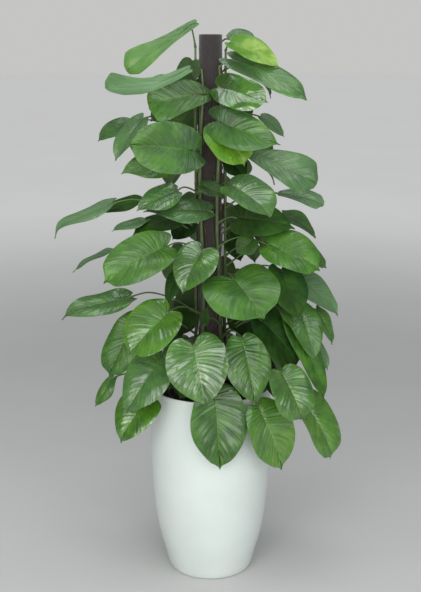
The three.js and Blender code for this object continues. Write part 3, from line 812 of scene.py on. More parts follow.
GRIDS = {form: vein_grid(form, DRIP[form]) for form in OUTLINES}
BLUNT = {form: vein_grid(form, PLAIN_TIP)[1] for form in OUTLINES}
broad_ridge = np.abs(np.sin(np.pi * row_share * VEINS)) ** 0.8
fine_ridge = np.abs(np.sin(2 * np.pi * row_share * VEINS)) ** 0.8
FADE = np.clip(reach_out / 0.16, 0, 1) * np.clip((1 - reach_out) / 0.22, 0, 1)
FADE = FADE * (1.1 - 0.5 * reach_out)
PUFF = (0.5 * broad_ridge + 0.5 * fine_ridge) * FADE
CREASE = np.exp(-((reach_out / 0.045) ** 2)) * (1 - row_share)
print("points on one face of a blade:", (ROWS - 1) * COLUMNS + 2)

# %% The faces of a blade, the same for every leaf
def blade_faces():
    inner = COLUMNS - 2
    tip = 1 + (ROWS - 1) * COLUMNS

    def upper(row, column):
        return 1 + row * COLUMNS + column

    def lower(row, column):
        if column in (0, COLUMNS - 1):
            return upper(row, column)
        return tip + row * inner + column

    faces, flat = [], []
    across = (SHARES + 1) / 2
    for corner_of, flip in ((upper, False), (lower, True)):
        for column in range(COLUMNS - 1):
            left, right = across[column], across[column + 1]
            middle = (left + right) / 2
            strip = [
                ((0, corner_of(0, column + 1), corner_of(0, column)),
                 [(middle, 0), (right, 1 / ROWS), (left, 1 / ROWS)]),
                ((tip, corner_of(ROWS - 2, column), corner_of(ROWS - 2, column + 1)),
                 [(middle, 1), (left, 1 - 1 / ROWS), (right, 1 - 1 / ROWS)]),
            ]
            for row in range(ROWS - 2):
                low, high = (row + 1) / ROWS, (row + 2) / ROWS
                face = (corner_of(row, column), corner_of(row, column + 1),
                        corner_of(row + 1, column + 1), corner_of(row + 1, column))
                strip.append((face, [(left, low), (right, low), (right, high), (left, high)]))
            for face, corners in strip:
                faces.append(face[::-1] if flip else face)
                flat += corners[::-1] if flip else corners
    return faces, flat


BLADE_FACES, BLADE_MAP = blade_faces()
UPPER_COUNT = len(BLADE_FACES) // 2
print("faces in one blade:", len(BLADE_FACES))

# %% [markdown]
# A real blade is a third of a millimetre thick. This one is 0.8 mm at its middle and thins out to
# its edge, where the two faces share their points, so the mesh stays closed without a rim. Below,
# the midrib stands out as a keel, because on the real leaf the rib is a round bar of which the
# upper face only shows the groove. Close to the pole the ripeness is lowered, which paints shade
# into the leaves at the heart of the plant.

# %% Making one blade
SKIN = 0.4 * MM
KEEL = 1.5 * MM
GROOVE = 0.9 * MM
QUILT_RISE = 0.0095
COCKLE_RISE = 0.014
SHADED_REACH = 0.17
SHADE_AT_POLE = 0.75
UPPER, UNDERSIDE, IN_SHADE, NEW_AND_GLOSSY, YOUNG_AND_SMOOTH = range(5)
# The dark kinds get the in-shade face, a copy of the upper face with painted shade.
SURFACES = {
    "dim": IN_SHADE, "shaded_olive": IN_SHADE, "shady": IN_SHADE, "emerald": NEW_AND_GLOSSY,
    "strap_pale": YOUNG_AND_SMOOTH, "strap_blue": YOUNG_AND_SMOOTH, "lime": YOUNG_AND_SMOOTH,
}
UNEVEN_LOBES = {1: (1.0, 1.0), 2: (0.7, 0.7), 82: (1.5, 1.2)}
CLOSED_NOTCH = {1: 0.09, 2: 0.06}
SOFT_TIPS = (16, 20, 26, 30)
HOOKED = {6: 0.07, 11: 0.06}
upper_corners = sum(len(face) for face in BLADE_FACES[:UPPER_COUNT])
BLADE_MAP_UPPER, BLADE_MAP_LOWER = BLADE_MAP[:upper_corners], BLADE_MAP[upper_corners:]


def add_blade(shape, blade, form, kind, number):
    draw = dice(number + 500)
    ripeness_and_shade, veining, shine, painted_sheen, quilting = LOOKS[kind]
    u, v = GRIDS[form]
    if number in SOFT_TIPS:
        v = BLUNT[form]
    right, left = UNEVEN_LOBES.get(number, (draw(0.7, 1.7), draw(0.7, 1.7)))
    u = np.where(u < 0, u * np.where(v < 0, right, left), u)
    closed = CLOSED_NOTCH.get(number, 0.0)
    u = u - closed * np.clip(1 - np.abs(v) / 0.14, 0, 1) * np.clip(1 - u / 0.25, 0, 1)
    v = v * (1 + draw(-0.06, 0.06) * np.sign(v))
    quilt = PUFF * quilting * QUILT_RISE * min(blade.length, 1.6 * blade.half * 2)
    frill = np.sin(ALONG_EDGE * draw(14, 24) + draw(0, 6) + 2 * np.sign(v)) * reach_out**4
    frill = frill * blade.length * draw(0.006, 0.017)
    cockle = np.sin(u * draw(4, 8) + draw(0, 6)) * np.sin(reach_out * 4)
    cockle = cockle * blade.length * COCKLE_RISE
    hang = -draw(0.01, 0.06) * blade.length * np.clip((u - 0.8) / 0.2, 0, 1) ** 2
    hook = HOOKED.get(number, 0.0) * blade.length * np.sin(np.pi * np.clip(u, 0, 1) ** 3)
    swell = quilt + frill + cockle + hang + hook
    bow = draw(-0.035, 0.035) * blade.length / blade.half
    v = v + bow * np.sin(np.pi * np.clip(u, 0, 1))
    upper = blade.spots(u, v, ALONG_EDGE, swell + SKIN * (reach_out < 1) - GROOVE * CREASE)
    lower = blade.spots(u, v, ALONG_EDGE, swell - SKIN - KEEL * CREASE)[:, 1:-1]
    ends = [
        blade.spots(np.array(x), np.array(0.0), np.array(x), np.array(drop))
        for x, drop in ((-closed, 0.0), (1.0, float(hang.min())))
    ]
    rows = ends[0], upper, ends[1], lower
    points = np.concatenate([part.reshape(-1, 3) for part in rows])
    # Painted shade: the closer a point is to the pole, the lower its ripeness and the darker its
    # green.
    from_pole = np.hypot(points[:, 0], points[:, 1])
    pole_shade = np.clip((SHADED_REACH - from_pole) / SHADED_REACH, 0, 1)
    ripe_and_shaded = np.clip(ripeness_and_shade + draw(-0.04, 0.04) - SHADE_AT_POLE * pole_shade, 0.0, 1.2)
    facts = np.stack([ripe_and_shaded, 0 * ripe_and_shaded + veining, 0 * ripe_and_shaded + shine, 0 * ripe_and_shaded + painted_sheen], 1)
    shape.add(points, BLADE_FACES[:UPPER_COUNT], BLADE_MAP_UPPER, SURFACES.get(kind, UPPER), facts)
    first = shape.count - len(points)
    shape.faces += [tuple(k + first for k in face) for face in BLADE_FACES[UPPER_COUNT:]]
    shape.map += BLADE_MAP_LOWER
    shape.finish += [UNDERSIDE] * (len(BLADE_FACES) - UPPER_COUNT)


special = {*UNEVEN_LOBES, *CLOSED_NOTCH, *SOFT_TIPS, *HOOKED}
print("leaves with a form of their own:", sorted(special))

# %% [markdown]
# ## Leaf skin
# What makes a pothos leaf look alive is in three layers: a green that runs from blue-dark in old
# leaves to lime in new ones, fine veins with a pale midrib, and a wax that gives soft highlights
# which break up into streaks on the ridges. The pattern of the veins is one group, because all
# five finishes of a leaf need it: sunk on the upper face, raised below.

# %% The shared group "leaf_veins"
veins_tree, given, taken = group_named(
    "leaf_veins",
    [("Map", "Vector", None), ("Place", "Vector", None)],
    ["Veins", "Puff", "Rim", "Tip", "Streaks", "Cells"],
)
tree, flat_map, place = veins_tree, given.outputs["Map"], given.outputs["Place"]
ways = put(tree, "SeparateXYZ", {0: flat_map}).outputs
along, across = ways["Y"], ways["X"]
out = calculate(tree, "ABSOLUTE", times_plus(tree, across, 2.0, -1.0))
shift = times_plus(tree, cloud(tree, place, 1.0, 60.0), 0.16, -0.08)
from_vein = calculate(tree, "PINGPONG", times_plus(tree, along, float(VEINS), shift), 0.5)
from_line = calculate(tree, "DIVIDE", from_vein, between(tree, out, 0.0, 1.0, 0.080, 0.025))
side_veins = between(tree, from_line, 0.2, 1.0, 1.0, 0.0)
side_veins = times(tree, side_veins, between(tree, out, 0.95, 0.45, 0.08, 0.55))
from_rib = calculate(tree, "DIVIDE", out, between(tree, along, 0.0, 1.0, 0.042, 0.018))
rib_line = between(tree, from_rib, 0.5, 1.1, 1.0, 0.0)
cells = put(tree, "TexVoronoi", {"Vector": place, "Scale": 330.0}, feature="DISTANCE_TO_EDGE")
feeds = {0: place, 1: (22.0, 22.0, 22.0), 2: stretch(tree, flat_map, (4.0, 46.0, 0.0))}
combed = put(tree, "VectorMath", feeds, operation="MULTIPLY_ADD").outputs[0]
masks = {
    "Veins": calculate(tree, "MAXIMUM", side_veins, rib_line),
    "Puff": between(tree, from_vein, 0.0, 0.42),
    "Rim": between(tree, out, 0.93, 1.0),
    "Tip": between(tree, along, 0.955, 1.0),
    "Streaks": between(tree, cloud(tree, combed, 2.0), 0.35, 0.65),
    "Cells": between(tree, cells.outputs["Distance"], 0.0, 0.25),
}
for name, mask in masks.items():
    wire(tree, mask, taken.inputs[name])
print("group:", veins_tree.name, "with", len(veins_tree.nodes), "nodes")

# %% [markdown]
# The greens are stops on one ramp. A leaf's ripeness picks its place on the ramp, and the drift
# moves that place a little to and fro over the blade; near the pole and in the dark kinds the
# ripeness is lowered as painted shade. The painted sheen is a pale bluish veil mixed into the green
# of some leaves, a painted reflection of a bright sky. Shine lowers the roughness and adds a clear
# coat, both broken up by the streaks.

# %% The greens
DARKEST = (0.0035, 0.016, 0.004, 1)
DEEP = (0.012, 0.060, 0.009, 1)
FRESH = (0.068, 0.202, 0.011, 1)
GREENS = [
    (0.0, DARKEST),
    (0.2, DEEP),
    (0.42, (0.038, 0.132, 0.010, 1)),
    (0.62, FRESH),
    (0.8, (0.102, 0.246, 0.010, 1)),
    (1.0, (0.270, 0.420, 0.080, 1)),
]
PALE_VEIN = (0.24, 0.36, 0.08, 1)
PAINTED_SHEEN = (0.125, 0.225, 0.115, 1)
OLIVE_BLOTCH = (0.100, 0.140, 0.012, 1)
DRY_TIP = (0.120, 0.090, 0.030, 1)
WASHED = (0.20, 0.30, 0.14, 1)
print("stops from old to new:", len(GREENS))

# %% The faces of a leaf, five finishes
def leaf_finish(name, vein_share, relief, rough, coat, washed=0.0, shaded=0.0, **fixed):
    """One face of a leaf. washed pales the green, as on the underside, and shaded deepens it as
    painted shade.
    """
    material, tree, shader = finish_named(name, **fixed)
    here = place_in(tree)
    ripeness_and_shade, veining, shine, painted_sheen = facts_in(tree)
    flat_map = put(tree, "UVMap", uv_map="flat_map").outputs[0]
    pattern = put(tree, "Group", {"Map": flat_map, "Place": here}, node_tree=veins_tree)
    veins, puff, rim, tip, streaks, cells = pattern.outputs
    drifts, flecks = drift(tree, here, 26.0, 420.0)
    blotches, _ = drift(tree, here, 11.0, 420.0, 5.0)
    # The ramp's place is the ripeness, painted shade included, moved to and fro by the drift.
    age_and_painted_shade = times_plus(tree, drifts, 0.32, calculate(tree, "ADD", ripeness_and_shade, -0.17))
    greens = put(tree, "ValToRGB", {"Fac": age_and_painted_shade})
    stops = greens.color_ramp.elements
    stops[0].color, stops[-1].color = GREENS[0][1], GREENS[-1][1]
    for position, middle_green in GREENS[1:-1]:
        stops.new(position).color = middle_green
    green = greens.outputs["Color"]
    for share, layer in (
        (times(tree, blotches, 0.16), OLIVE_BLOTCH),
        # Painted sheen: a pale bluish veil that stands for the reflection of a bright sky.
        (times(tree, painted_sheen, 0.8), PAINTED_SHEEN),
        # Dark streaks along the side veins: partly the blade's own uneven green, partly painted
        # shade in the creases.
        (times(tree, times_plus(tree, streaks, -0.5, 0.5), 0.32), DEEP),
        # Painted highlight: the puffed skin between the veins is painted lighter, as if its raised
        # parts caught the light.
        (times(tree, puff, 0.12), FRESH),
        (times(tree, flecks, 0.10), FRESH),
        (times(tree, veins, times(tree, veining, vein_share)), PALE_VEIN),
        # A paler margin: partly the margin's own paler green, partly painted light where the thin
        # edge lets light through.
        (times(tree, rim, 0.3), FRESH),
        (times(tree, tip, 0.5), DRY_TIP),
        (shaded, DARKEST),
        (washed, WASHED),
    ):
        green = tint(tree, share, green, layer)
    wax = times_plus(tree, streaks, -0.08, between(tree, shine, 0.0, 1.0, rough[1], rough[0]))
    clear = times(tree, times(tree, shine, shine), coat)
    clear = times(tree, clear, between(tree, streaks, 0.0, 1.0, 0.15, 1.0))
    height = times_plus(tree, puff, 0.3, times(tree, cells, 0.08))
    height = times_plus(tree, streaks, 0.5, height)
    height = times_plus(tree, veins, -0.6, height)
    wax = times_plus(tree, drifts, 0.08, wax)
    dress(tree, shader, Base_Color=green, Roughness=wax, Coat_Weight=clear)
    roughen(tree, shader, height, 0.0010, relief)
    return material


leaf_finishes = [
    leaf_finish("leaf_upper_face", vein_share=0.45, relief=0.8, rough=(0.24, 0.46), coat=1.0,
                Specular_IOR_Level=0.28, Coat_Roughness=0.13, Coat_IOR=1.8),
    leaf_finish("leaf_underside", vein_share=0.8, relief=-0.6, rough=(0.50, 0.62), coat=0.05,
                washed=0.35, Specular_IOR_Level=0.25, Coat_Roughness=0.30),
    # Painted shade: a copy of the upper face with a deepened green and lower highlights, for leaves
    # deep in the plant.
    leaf_finish("leaf_in_shade", vein_share=0.4, relief=0.6, rough=(0.45, 0.62), coat=0.15,
                shaded=0.35, Specular_IOR_Level=0.12, Coat_Roughness=0.25),
    leaf_finish("leaf_new_and_glossy", vein_share=0.3, relief=0.25, rough=(0.14, 0.30), coat=1.0,
                Specular_IOR_Level=0.40, Coat_Roughness=0.05, Coat_IOR=1.7),
    leaf_finish("leaf_young_and_smooth", vein_share=0.15, relief=0.12, rough=(0.34, 0.46), coat=0.5,
                Specular_IOR_Level=0.35, Coat_Roughness=0.24),
]
print("leaf finishes:", ", ".join(material.name for material in leaf_finishes))

# %% [markdown]
# ## Stems, leaf stalks and aerial roots
# A climbing stem is a green rope as thick as a pencil with a ring at every joint. From each joint
# come a leaf stalk, which clasps the stem with a sheath and thickens again just before the blade,
# and brown aerial roots that feel for the pole. All of them are tubes along curves, with a radius
# that changes on the way. The brown of a joint is painted from a number that the mesh carries.

# %% Stalk and root finishes
stalk_green, tree, shader = finish_named(
    "stalk_green", Specular_IOR_Level=0.45, Coat_Weight=0.1, Coat_Roughness=0.3
)
here = place_in(tree)
stalk_paleness, brownness, _, chance = facts_in(tree)
drifts, flecks = drift(tree, here, 40.0, 500.0, chance)
streaks = cloud(tree, stretch(tree, here, (700.0, 700.0, 60.0)), 2.0)
# The stalk's green runs from dark to pale with the paleness that the mesh carries.
stalk = tint(tree, stalk_paleness, (0.022, 0.038, 0.010, 1), (0.110, 0.195, 0.040, 1))
stalk = tint(tree, times(tree, streaks, 0.4), stalk, (0.055, 0.095, 0.024, 1))
stalk = tint(tree, brownness, stalk, (0.065, 0.042, 0.018, 1))
stalk = tint(tree, times(tree, drifts, 0.3), stalk, (0.10, 0.16, 0.05, 1))
dress(tree, shader, Base_Color=stalk, Roughness=between(tree, flecks, 0.0, 1.0, 0.40, 0.55))
roughen(tree, shader, streaks, 0.0005, 0.5)
root_brown, tree, shader = finish_named("aerial_root", Roughness=0.85, Specular_IOR_Level=0.25)
drifts, flecks = drift(tree, place_in(tree), 90.0, 900.0)
rooty = tint(tree, drifts, (0.055, 0.033, 0.018, 1), (0.125, 0.082, 0.045, 1))
dress(tree, shader, Base_Color=rooty)
roughen(tree, shader, flecks, 0.0006, 0.6)
print("stem finishes:", stalk_green.name, root_brown.name)

# %% A stem's course
STEM_RADIUS = 4.5
STEM_FOOT_DEPTH = 45
COLLAR_RISE = 14
PLANTED_RADIUS = 66
STEM_CLEAR_OF_POLE = 3.5
CLOSE = POLE_RADIUS + STEM_CLEAR_OF_POLE + STEM_RADIUS
LEANS_IN_OVER = 180
STEP_UP = 90
WANDER, WANDER_LENGTH = 9, 95


def climber_route(azimuth, top):
    route = []
    height = SOIL_TOP
    while height < top - 30:
        lean = max(0, 1 - (height - SOIL_TOP) / LEANS_IN_OVER)
        out = CLOSE + (PLANTED_RADIUS - CLOSE) * lean
        angle = math.radians(azimuth + WANDER * math.sin(height / WANDER_LENGTH + azimuth))
        route.append((out * math.cos(angle), out * math.sin(angle), height))
        height += STEP_UP
    angle = math.radians(azimuth)
    return route + [(CLOSE * math.cos(angle), CLOSE * math.sin(angle), top)]


def stem_line(route):
    x, y, _ = route[0]
    start = [(x, y, SOIL_TOP + COLLAR_RISE - 4)] + list(route[1:])
    curve = through(start, 40 * (len(start) - 1))
    return np.concatenate([[(x, y, SOIL_TOP - STEM_FOOT_DEPTH), (x, y, SOIL_TOP - 6)], curve]) * MM


print("points of one route:", len(climber_route(0, POLE_TOP)))

# %% Roots of a climbing stem
GREEN, ROOT = range(2)


def add_aerial_root(shape, spot, luck):
    """A root that leaves a joint, bends to the pole and creeps down along it."""
    around = math.atan2(spot[1], spot[0])
    out = math.hypot(spot[0], spot[1])
    swing = luck.uniform(-0.5, 0.5)
    drop = luck.uniform(12, 46) * MM
    rest = (POLE_RADIUS + 0.6) * MM
    way = np.linspace(0, 1, 8)
    angle = around + swing * way
    radius = np.maximum(rest, out + (rest - out) * np.minimum(1, way * 1.8))
    height = spot[2] + 2 * MM * np.sin(3 * way) - drop * way**1.5
    line = round_axis(radius, angle, height)
    if height[-1] > (SOIL_TOP + 8) * MM:
        tube(shape, line, np.linspace(1.1, 0.45, 8) * MM, 5, ROOT)


def add_creeping_root(shape, spot, luck):
    """A long root that lies along the pole and wanders down it, thin at its far end."""
    fall = luck.uniform(110, 330) * MM
    bottom = max(spot[2] - fall, (SOIL_TOP + 14) * MM)
    height = np.linspace(spot[2], bottom, 24)
    swing = luck.uniform(-0.35, 0.35) + 0.16 * np.sin(np.linspace(0, luck.uniform(4, 11), 24))
    angle = math.atan2(spot[1], spot[0]) + luck.uniform(-0.7, 0.7) + swing
    thick = luck.uniform(0.9, 1.7)
    radius = (POLE_RADIUS + 0.4 + 0.8 * thick + luck.uniform(0, 1.2)) * MM
    line = round_axis(radius, angle, height)
    finish = GREEN if luck.random() < 0.4 else ROOT
    facts = (luck.uniform(0.2, 0.8), luck.uniform(0.2, 0.7), 0, luck.random())
    tube(shape, line, np.linspace(thick, 0.4, 24) * MM, 6, finish, facts)


trial = Shape()
add_aerial_root(trial, np.array([0.038, 0, 1.0]), np.random.default_rng(1))
print("points in one aerial root:", trial.count)

# %% Making a stem with its joints
JOINT_GAPS = 0.048, 0.082
FIRST_JOINT = 0.06
MOST_JOINTS = 40
STEM_STEP = 5 * MM
RING_WIDTH = 3 * MM
RING_RISE = 0.9


def add_stem(shape, line, seed, climbs):
    luck = np.random.default_rng(seed)
    length = np.concatenate([[0], np.cumsum(np.linalg.norm(np.diff(line, axis=0), axis=1))])
    count = int(length[-1] / STEM_STEP)
    even = np.linspace(0, length[-1], count)
    fine = np.stack([np.interp(even, length, line[:, k]) for k in range(3)], 1)
    joints = np.cumsum(luck.uniform(*JOINT_GAPS, MOST_JOINTS)) + FIRST_JOINT
    joints = joints[joints < length[-1] - 0.01]
    near = np.min(np.abs(even[:, None] - joints[None, :]), axis=1)
    ring = np.exp(-((near / RING_WIDTH) ** 2))
    taper = np.interp(even / length[-1], [0, 0.8, 1], [1, 0.9, 0.55])
    radii = (STEM_RADIUS * 1.08 * taper + RING_RISE * ring) * MM
    # The stem is painted darker towards its foot and paler towards its tip.
    stalk_paleness = 0.75 * (even / length[-1]) ** 1.5
    facts = np.stack([stalk_paleness, 0.7 * ring, 0 * even, 0 * even + luck.random()], 1)
    tube(shape, fine, radii, 10, GREEN, facts)
    if not climbs:
        return
    spots = np.stack([np.interp(joints, even, fine[:, k]) for k in range(3)], 1)
    for spot in spots:
        for _ in range(luck.integers(1, 4)):
            add_aerial_root(shape, spot, luck)
    for spot in spots:
        add_creeping_root(shape, spot, luck)


trial = Shape()
add_stem(trial, stem_line(climber_route(0, POLE_TOP)), 1, True)
print("points in a stem with its roots:", trial.count)

# %% Making a leaf stalk
LEAST_DROP, MOST_DROP = 18 * MM, 75 * MM


def add_stalk(shape, blade, stem, foot, look, number):
    joint = blade.at
    reach = math.hypot(joint[0] - foot[0], joint[1] - foot[1])
    drop = min(max(0.35 * reach, LEAST_DROP), MOST_DROP)
    rising = stem[stem[:, 2] > (SOIL_TOP + 40) * MM]
    root = rising[np.argmin(np.abs(rising[:, 2] - (joint[2] - drop)))]
    way = joint - root
    arch = 0.14 * np.linalg.norm(way)
    low = root + way * 0.3 + (0, 0, 0.8 * arch)
    high = root + way * 0.72 + (0, 0, 0.9 * arch)
    end = blade.spots(np.array(0.06), np.array(0.0), np.array(0.0), np.array(-0.9 * MM))
    curve = through([root, low, high, joint - blade.face * 0.6 * MM, end], 41)
    w = np.linspace(0, 1, len(curve))
    radii = 2.0 + 1.9 * np.exp(-w / 0.10) + 0.55 * np.exp(-(((w - 0.72) / 0.045) ** 2))
    radii = np.where(w > 0.78, np.interp(w, [0.78, 1.0], [2.1, 0.9]), radii) * MM
    # A stalk's green follows its leaf's ripeness, so the stalks of the dark kinds carry their
    # painted shade too.
    green = 0.35 + 0.5 * look[0]
    chance = (number * 0.37) % 1
    facts = np.stack([green + 0 * w, 0.35 * np.exp(-w / 0.05), 0 * w, 0 * w + chance], 1)
    tube(shape, curve, radii, 8, GREEN, facts)


# %% [markdown]
# ## Where the leaves are
# Each row is one leaf: where its stalk meets the blade, where its tip is, both in millimetres, then
# its width, its roll about the midrib, how far it bends, its form and the kind of leaf it is. The
# places are the same as the solids'. The kinds were read off the photograph: lime leaves near the
# top, dark ones painted darker where others shade them, satin ones with a painted sheen where they
# catch the light at a flat angle, and the large quilted ones at the front.

# %% Kinds of leaf: ripeness with painted shade, veining, shine, painted sheen, quilting
LOOKS = {
    "dim": (0.10, 0.25, 0.30, 0.02, 0.5),
    "shaded_olive": (0.14, 0.25, 0.30, 0.00, 0.6),
    "deep": (0.20, 0.30, 0.50, 0.10, 0.5),
    "ribbed": (0.36, 0.50, 0.75, 0.06, 1.3),
    "cool": (0.30, 0.30, 0.60, 0.60, 0.3),
    "frosted": (0.34, 0.35, 0.55, 0.95, 0.4),
    "satin": (0.38, 0.35, 0.70, 0.35, 0.5),
    "mid": (0.42, 0.40, 0.50, 0.10, 0.5),
    "mottled": (0.40, 0.40, 0.60, 0.40, 0.25),
    "sheeny": (0.38, 0.45, 0.95, 0.35, 0.8),
    "gloss": (0.32, 0.50, 1.00, 0.05, 0.8),
    "quilted": (0.46, 0.80, 1.00, 0.15, 1.4),
    "olive": (0.36, 0.55, 0.15, 0.00, 0.5),
    "shady": (0.24, 0.30, 0.35, 0.05, 0.5),
    "calm": (0.40, 0.50, 0.45, 0.12, 0.8),
    "matt": (0.50, 0.55, 0.50, 0.14, 0.9),
    "full": (0.58, 0.75, 0.90, 0.16, 1.3),
    "silver": (0.50, 0.30, 0.60, 1.00, 0.3),
    "strap_pale": (0.70, 0.30, 0.55, 0.50, 0.1),
    "strap_blue": (0.42, 0.30, 0.50, 1.00, 0.1),
    "pale": (0.58, 0.35, 0.55, 0.40, 0.3),
    "fresh": (0.50, 0.40, 0.55, 0.05, 0.4),
    "bright": (0.52, 0.45, 0.95, 0.00, 0.8),
    "lively": (0.94, 0.30, 0.40, 0.00, 0.3),
    "emerald": (0.43, 0.35, 1.00, 0.00, 0.10),
    "lime": (1.12, 0.30, 0.50, 0.00, 0.2),
}
print("kinds of leaf:", len(LOOKS))

# %% The leaves of the climbing stems
CLIMBERS = {
    "vine_left": (176, 1404, [
        ((-50, -45, 1455), (-208, -60, 1348), 84, -45, 12, "strap", "strap_pale"),
        ((-62, -88, 1349), (-246, -190, 1317), 84, -35, -45, "strap", "strap_blue"),
        ((-90, -40, 1265), (-150, -60, 1225), 65, -40, 30, "egg", "deep"),
        ((-168, -45, 1230), (-240, -65, 1126), 76, -34, 20, "egg", "cool"),
        ((-205, 10, 1215), (-290, 0, 1170), 66, -45, 30, "egg", "deep"),
        ((-255, -20, 1012), (-405, -40, 928), 90, -16, 18, "egg", "silver"),
        ((-185, 15, 1012), (-282, 25, 980), 75, -25, 15, "egg", "shady"),
        ((-170, -30, 968), (-255, -45, 945), 62, -14, 20, "egg", "silver"),
        ((-60, -35, 978), (-205, -50, 936), 96, -15, 25, "egg", "shady"),
        ((-260, 20, 878), (-366, 20, 822), 58, -12, 25, "egg", "frosted"),
        ((-208, -60, 775), (-384, -95, 724), 88, -30, 18, "egg", "satin"),
        ((-196, -80, 715), (-266, -105, 570), 96, -48, 20, "round", "calm"),
        ((-200, -25, 645), (-250, -30, 560), 78, -10, 25, "heart", "dim"),
        ((-46, -14, 1371), (-74, -28, 1317), 60, -62, 15, "round", "olive"),
    ]),
    "vine_front_left": (-126, 1352, [
        ((-4, -66, 1290), (-156, -84, 1271), 122, -44, 25, "spoon", "matt"),
        ((-38, -110, 1156), (-197, -160, 1178), 130, -55, 20, "round", "calm"),
        ((-105, -75, 1115), (-222, -115, 1103), 90, -28, 25, "egg", "matt"),
        ((-25, -100, 1070), (35, -120, 1045), 50, 0, 30, "egg", "olive"),
        ((-84, -100, 1057), (-184, -140, 1012), 82, -20, 25, "egg", "sheeny"),
        ((0, -90, 1004), (-168, -130, 1012), 84, -5, 20, "egg", "satin"),
        ((-112, -105, 915), (-270, -150, 832), 124, -40, 25, "round", "matt"),
        ((-20, -150, 915), (-70, -200, 815), 112, 0, 35, "heart", "gloss"),
        ((-80, -100, 850), (-110, -115, 765), 55, 0, 25, "egg", "dim"),
        ((-105, -130, 752), (-205, -180, 654), 140, -24, 30, "round", "bright"),
        ((-35, -120, 585), (-80, -145, 525), 75, 0, 30, "heart", "dim"),
    ]),
    "vine_front_right": (-56, 1360, [
        ((56, -42, 1374), (237, -110, 1285), 78, 38, 12, "round", "mottled"),
        ((20, -90, 1310), (140, -150, 1276), 88, 40, 25, "round", "emerald"),
        ((15, -85, 1228), (172, -130, 1174), 98, 45, 20, "heart", "matt"),
        ((15, -65, 1210), (88, -105, 1120), 120, 10, 30, "round", "lively"),
        ((52, -128, 1072), (148, -185, 1006), 128, 0, 30, "round", "sheeny"),
        ((70, -60, 980), (215, -85, 960), 100, 35, 30, "heart", "shady"),
        ((110, -66, 928), (64, -82, 893), 60, 0, 25, "egg", "olive"),
        ((178, -100, 855), (224, -138, 735), 114, 28, 25, "heart", "shady"),
        ((58, -150, 842), (132, -235, 762), 198, 12, 30, "lobed", "calm"),
        ((165, -110, 770), (210, -125, 705), 60, 0, 25, "egg", "olive"),
        ((-15, -150, 725), (-10, -160, 775), 26, 0, 10, "egg", "dim"),
        ((77, -162, 693), (109, -213, 531), 122, 12, 30, "egg", "ribbed"),
    ]),
    "vine_right": (2, 1396, [
        ((51, -38, 1415), (171, -64, 1357), 78, 35, 15, "egg", "lime"),
        ((128, -10, 1232), (188, -20, 1182), 52, 35, 30, "egg", "cool"),
        ((80, -5, 1156), (168, -20, 1062), 92, 0, 25, "heart", "dim"),
        ((102, -54, 1142), (268, -84, 1074), 108, 50, 12, "spoon", "cool"),
        ((176, -20, 1038), (290, -45, 1014), 78, 30, 26, "spoon", "silver"),
        ((190, 0, 982), (276, -15, 922), 76, 25, 35, "egg", "deep"),
        ((148, -90, 917), (277, -130, 861), 118, 35, 25, "round", "mid"),
        ((225, -20, 901), (303, -30, 845), 72, 25, 25, "round", "deep"),
        ((220, -25, 826), (336, -55, 724), 112, 25, 20, "egg", "frosted"),
        ((235, -60, 730), (270, -85, 610), 90, 40, 25, "heart", "satin"),
        ((278, -30, 732), (322, -40, 640), 66, 25, 25, "egg", "mid"),
        ((128, -75, 718), (230, -72, 592), 158, 30, 25, "round", "shaded_olive"),
        ((200, -60, 710), (300, -80, 495), 72, 45, 30, "egg", "olive"),
        ((258, -20, 650), (314, -30, 566), 72, 30, 25, "egg", "silver"),
    ]),
    "vine_back_right": (61, 1405, [
        ((45, 15, 1425), (116, 20, 1430), 60, 40, 20, "egg", "pale"),
        ((60, 60, 940), (76, 88, 848), 90, 0, 25, "egg", "dim"),
        ((70, 75, 740), (100, 112, 600), 120, 0, 25, "egg", "dim"),
    ]),
    "vine_back_left": (119, 1350, [
        ((-32, 70, 775), (-52, 106, 655), 118, 0, 25, "egg", "dim"),
        ((-80, 60, 715), (-95, 95, 590), 110, 0, 25, "egg", "dim"),
    ]),
}
print("placed on climbing stems:", sum(len(leaves) for _, _, leaves in CLIMBERS.values()))

# %% The leaves of the shoots that hang over the rim
SHOOTS = {
    "shoot_left": ([(-85, -58, SOIL_TOP), (-98, -76, 555), (-112, -98, 615)], [
        ((-122, -135, 635), (-218, -175, 495), 130, -24, 30, "heart", "satin"),
        ((-256, -60, 555), (-306, -70, 478), 42, -45, 25, "egg", "mid"),
        ((-160, -130, 520), (-235, -160, 410), 116, -28, 30, "heart", "bright"),
    ]),
    "shoot_front": ([(0, -96, SOIL_TOP), (-8, -112, 590), (-20, -130, 680)], [
        ((-42, -200, 684), (-9, -245, 540), 158, 0, 30, "heart", "quilted"),
        ((10, -165, 560), (25, -190, 345), 156, 0, 25, "egg", "ribbed"),
    ]),
    "shoot_right": ([(86, -56, SOIL_TOP), (100, -76, 555), (116, -96, 600)], [
        ((180, -150, 600), (235, -170, 475), 124, 26, 30, "round", "quilted"),
        ((119, -150, 509), (187, -132, 323), 140, 28, 30, "egg", "full"),
        ((237, -62, 500), (324, -77, 331), 128, 30, 30, "round", "full"),
        ((135, -105, 612), (168, -138, 520), 78, 0, 25, "heart", "dim"),
    ]),
    "shoot_back": ([(4, 96, SOIL_TOP), (8, 112, 570), (-4, 124, 640)], [
        ((-60, 165, 600), (-100, 230, 465), 130, 0, 30, "heart", "gloss"),
        ((70, 162, 605), (120, 215, 460), 135, 0, 30, "heart", "quilted"),
        ((0, 180, 560), (15, 215, 385), 135, 0, 25, "egg", "mid"),
        ((-150, 110, 585), (-215, 160, 460), 115, 0, 30, "heart", "bright"),
        ((160, 105, 570), (230, 140, 450), 110, 0, 30, "egg", "mid"),
    ]),
}
print("placed on shoots:", sum(len(leaves) for _, leaves in SHOOTS.values()))

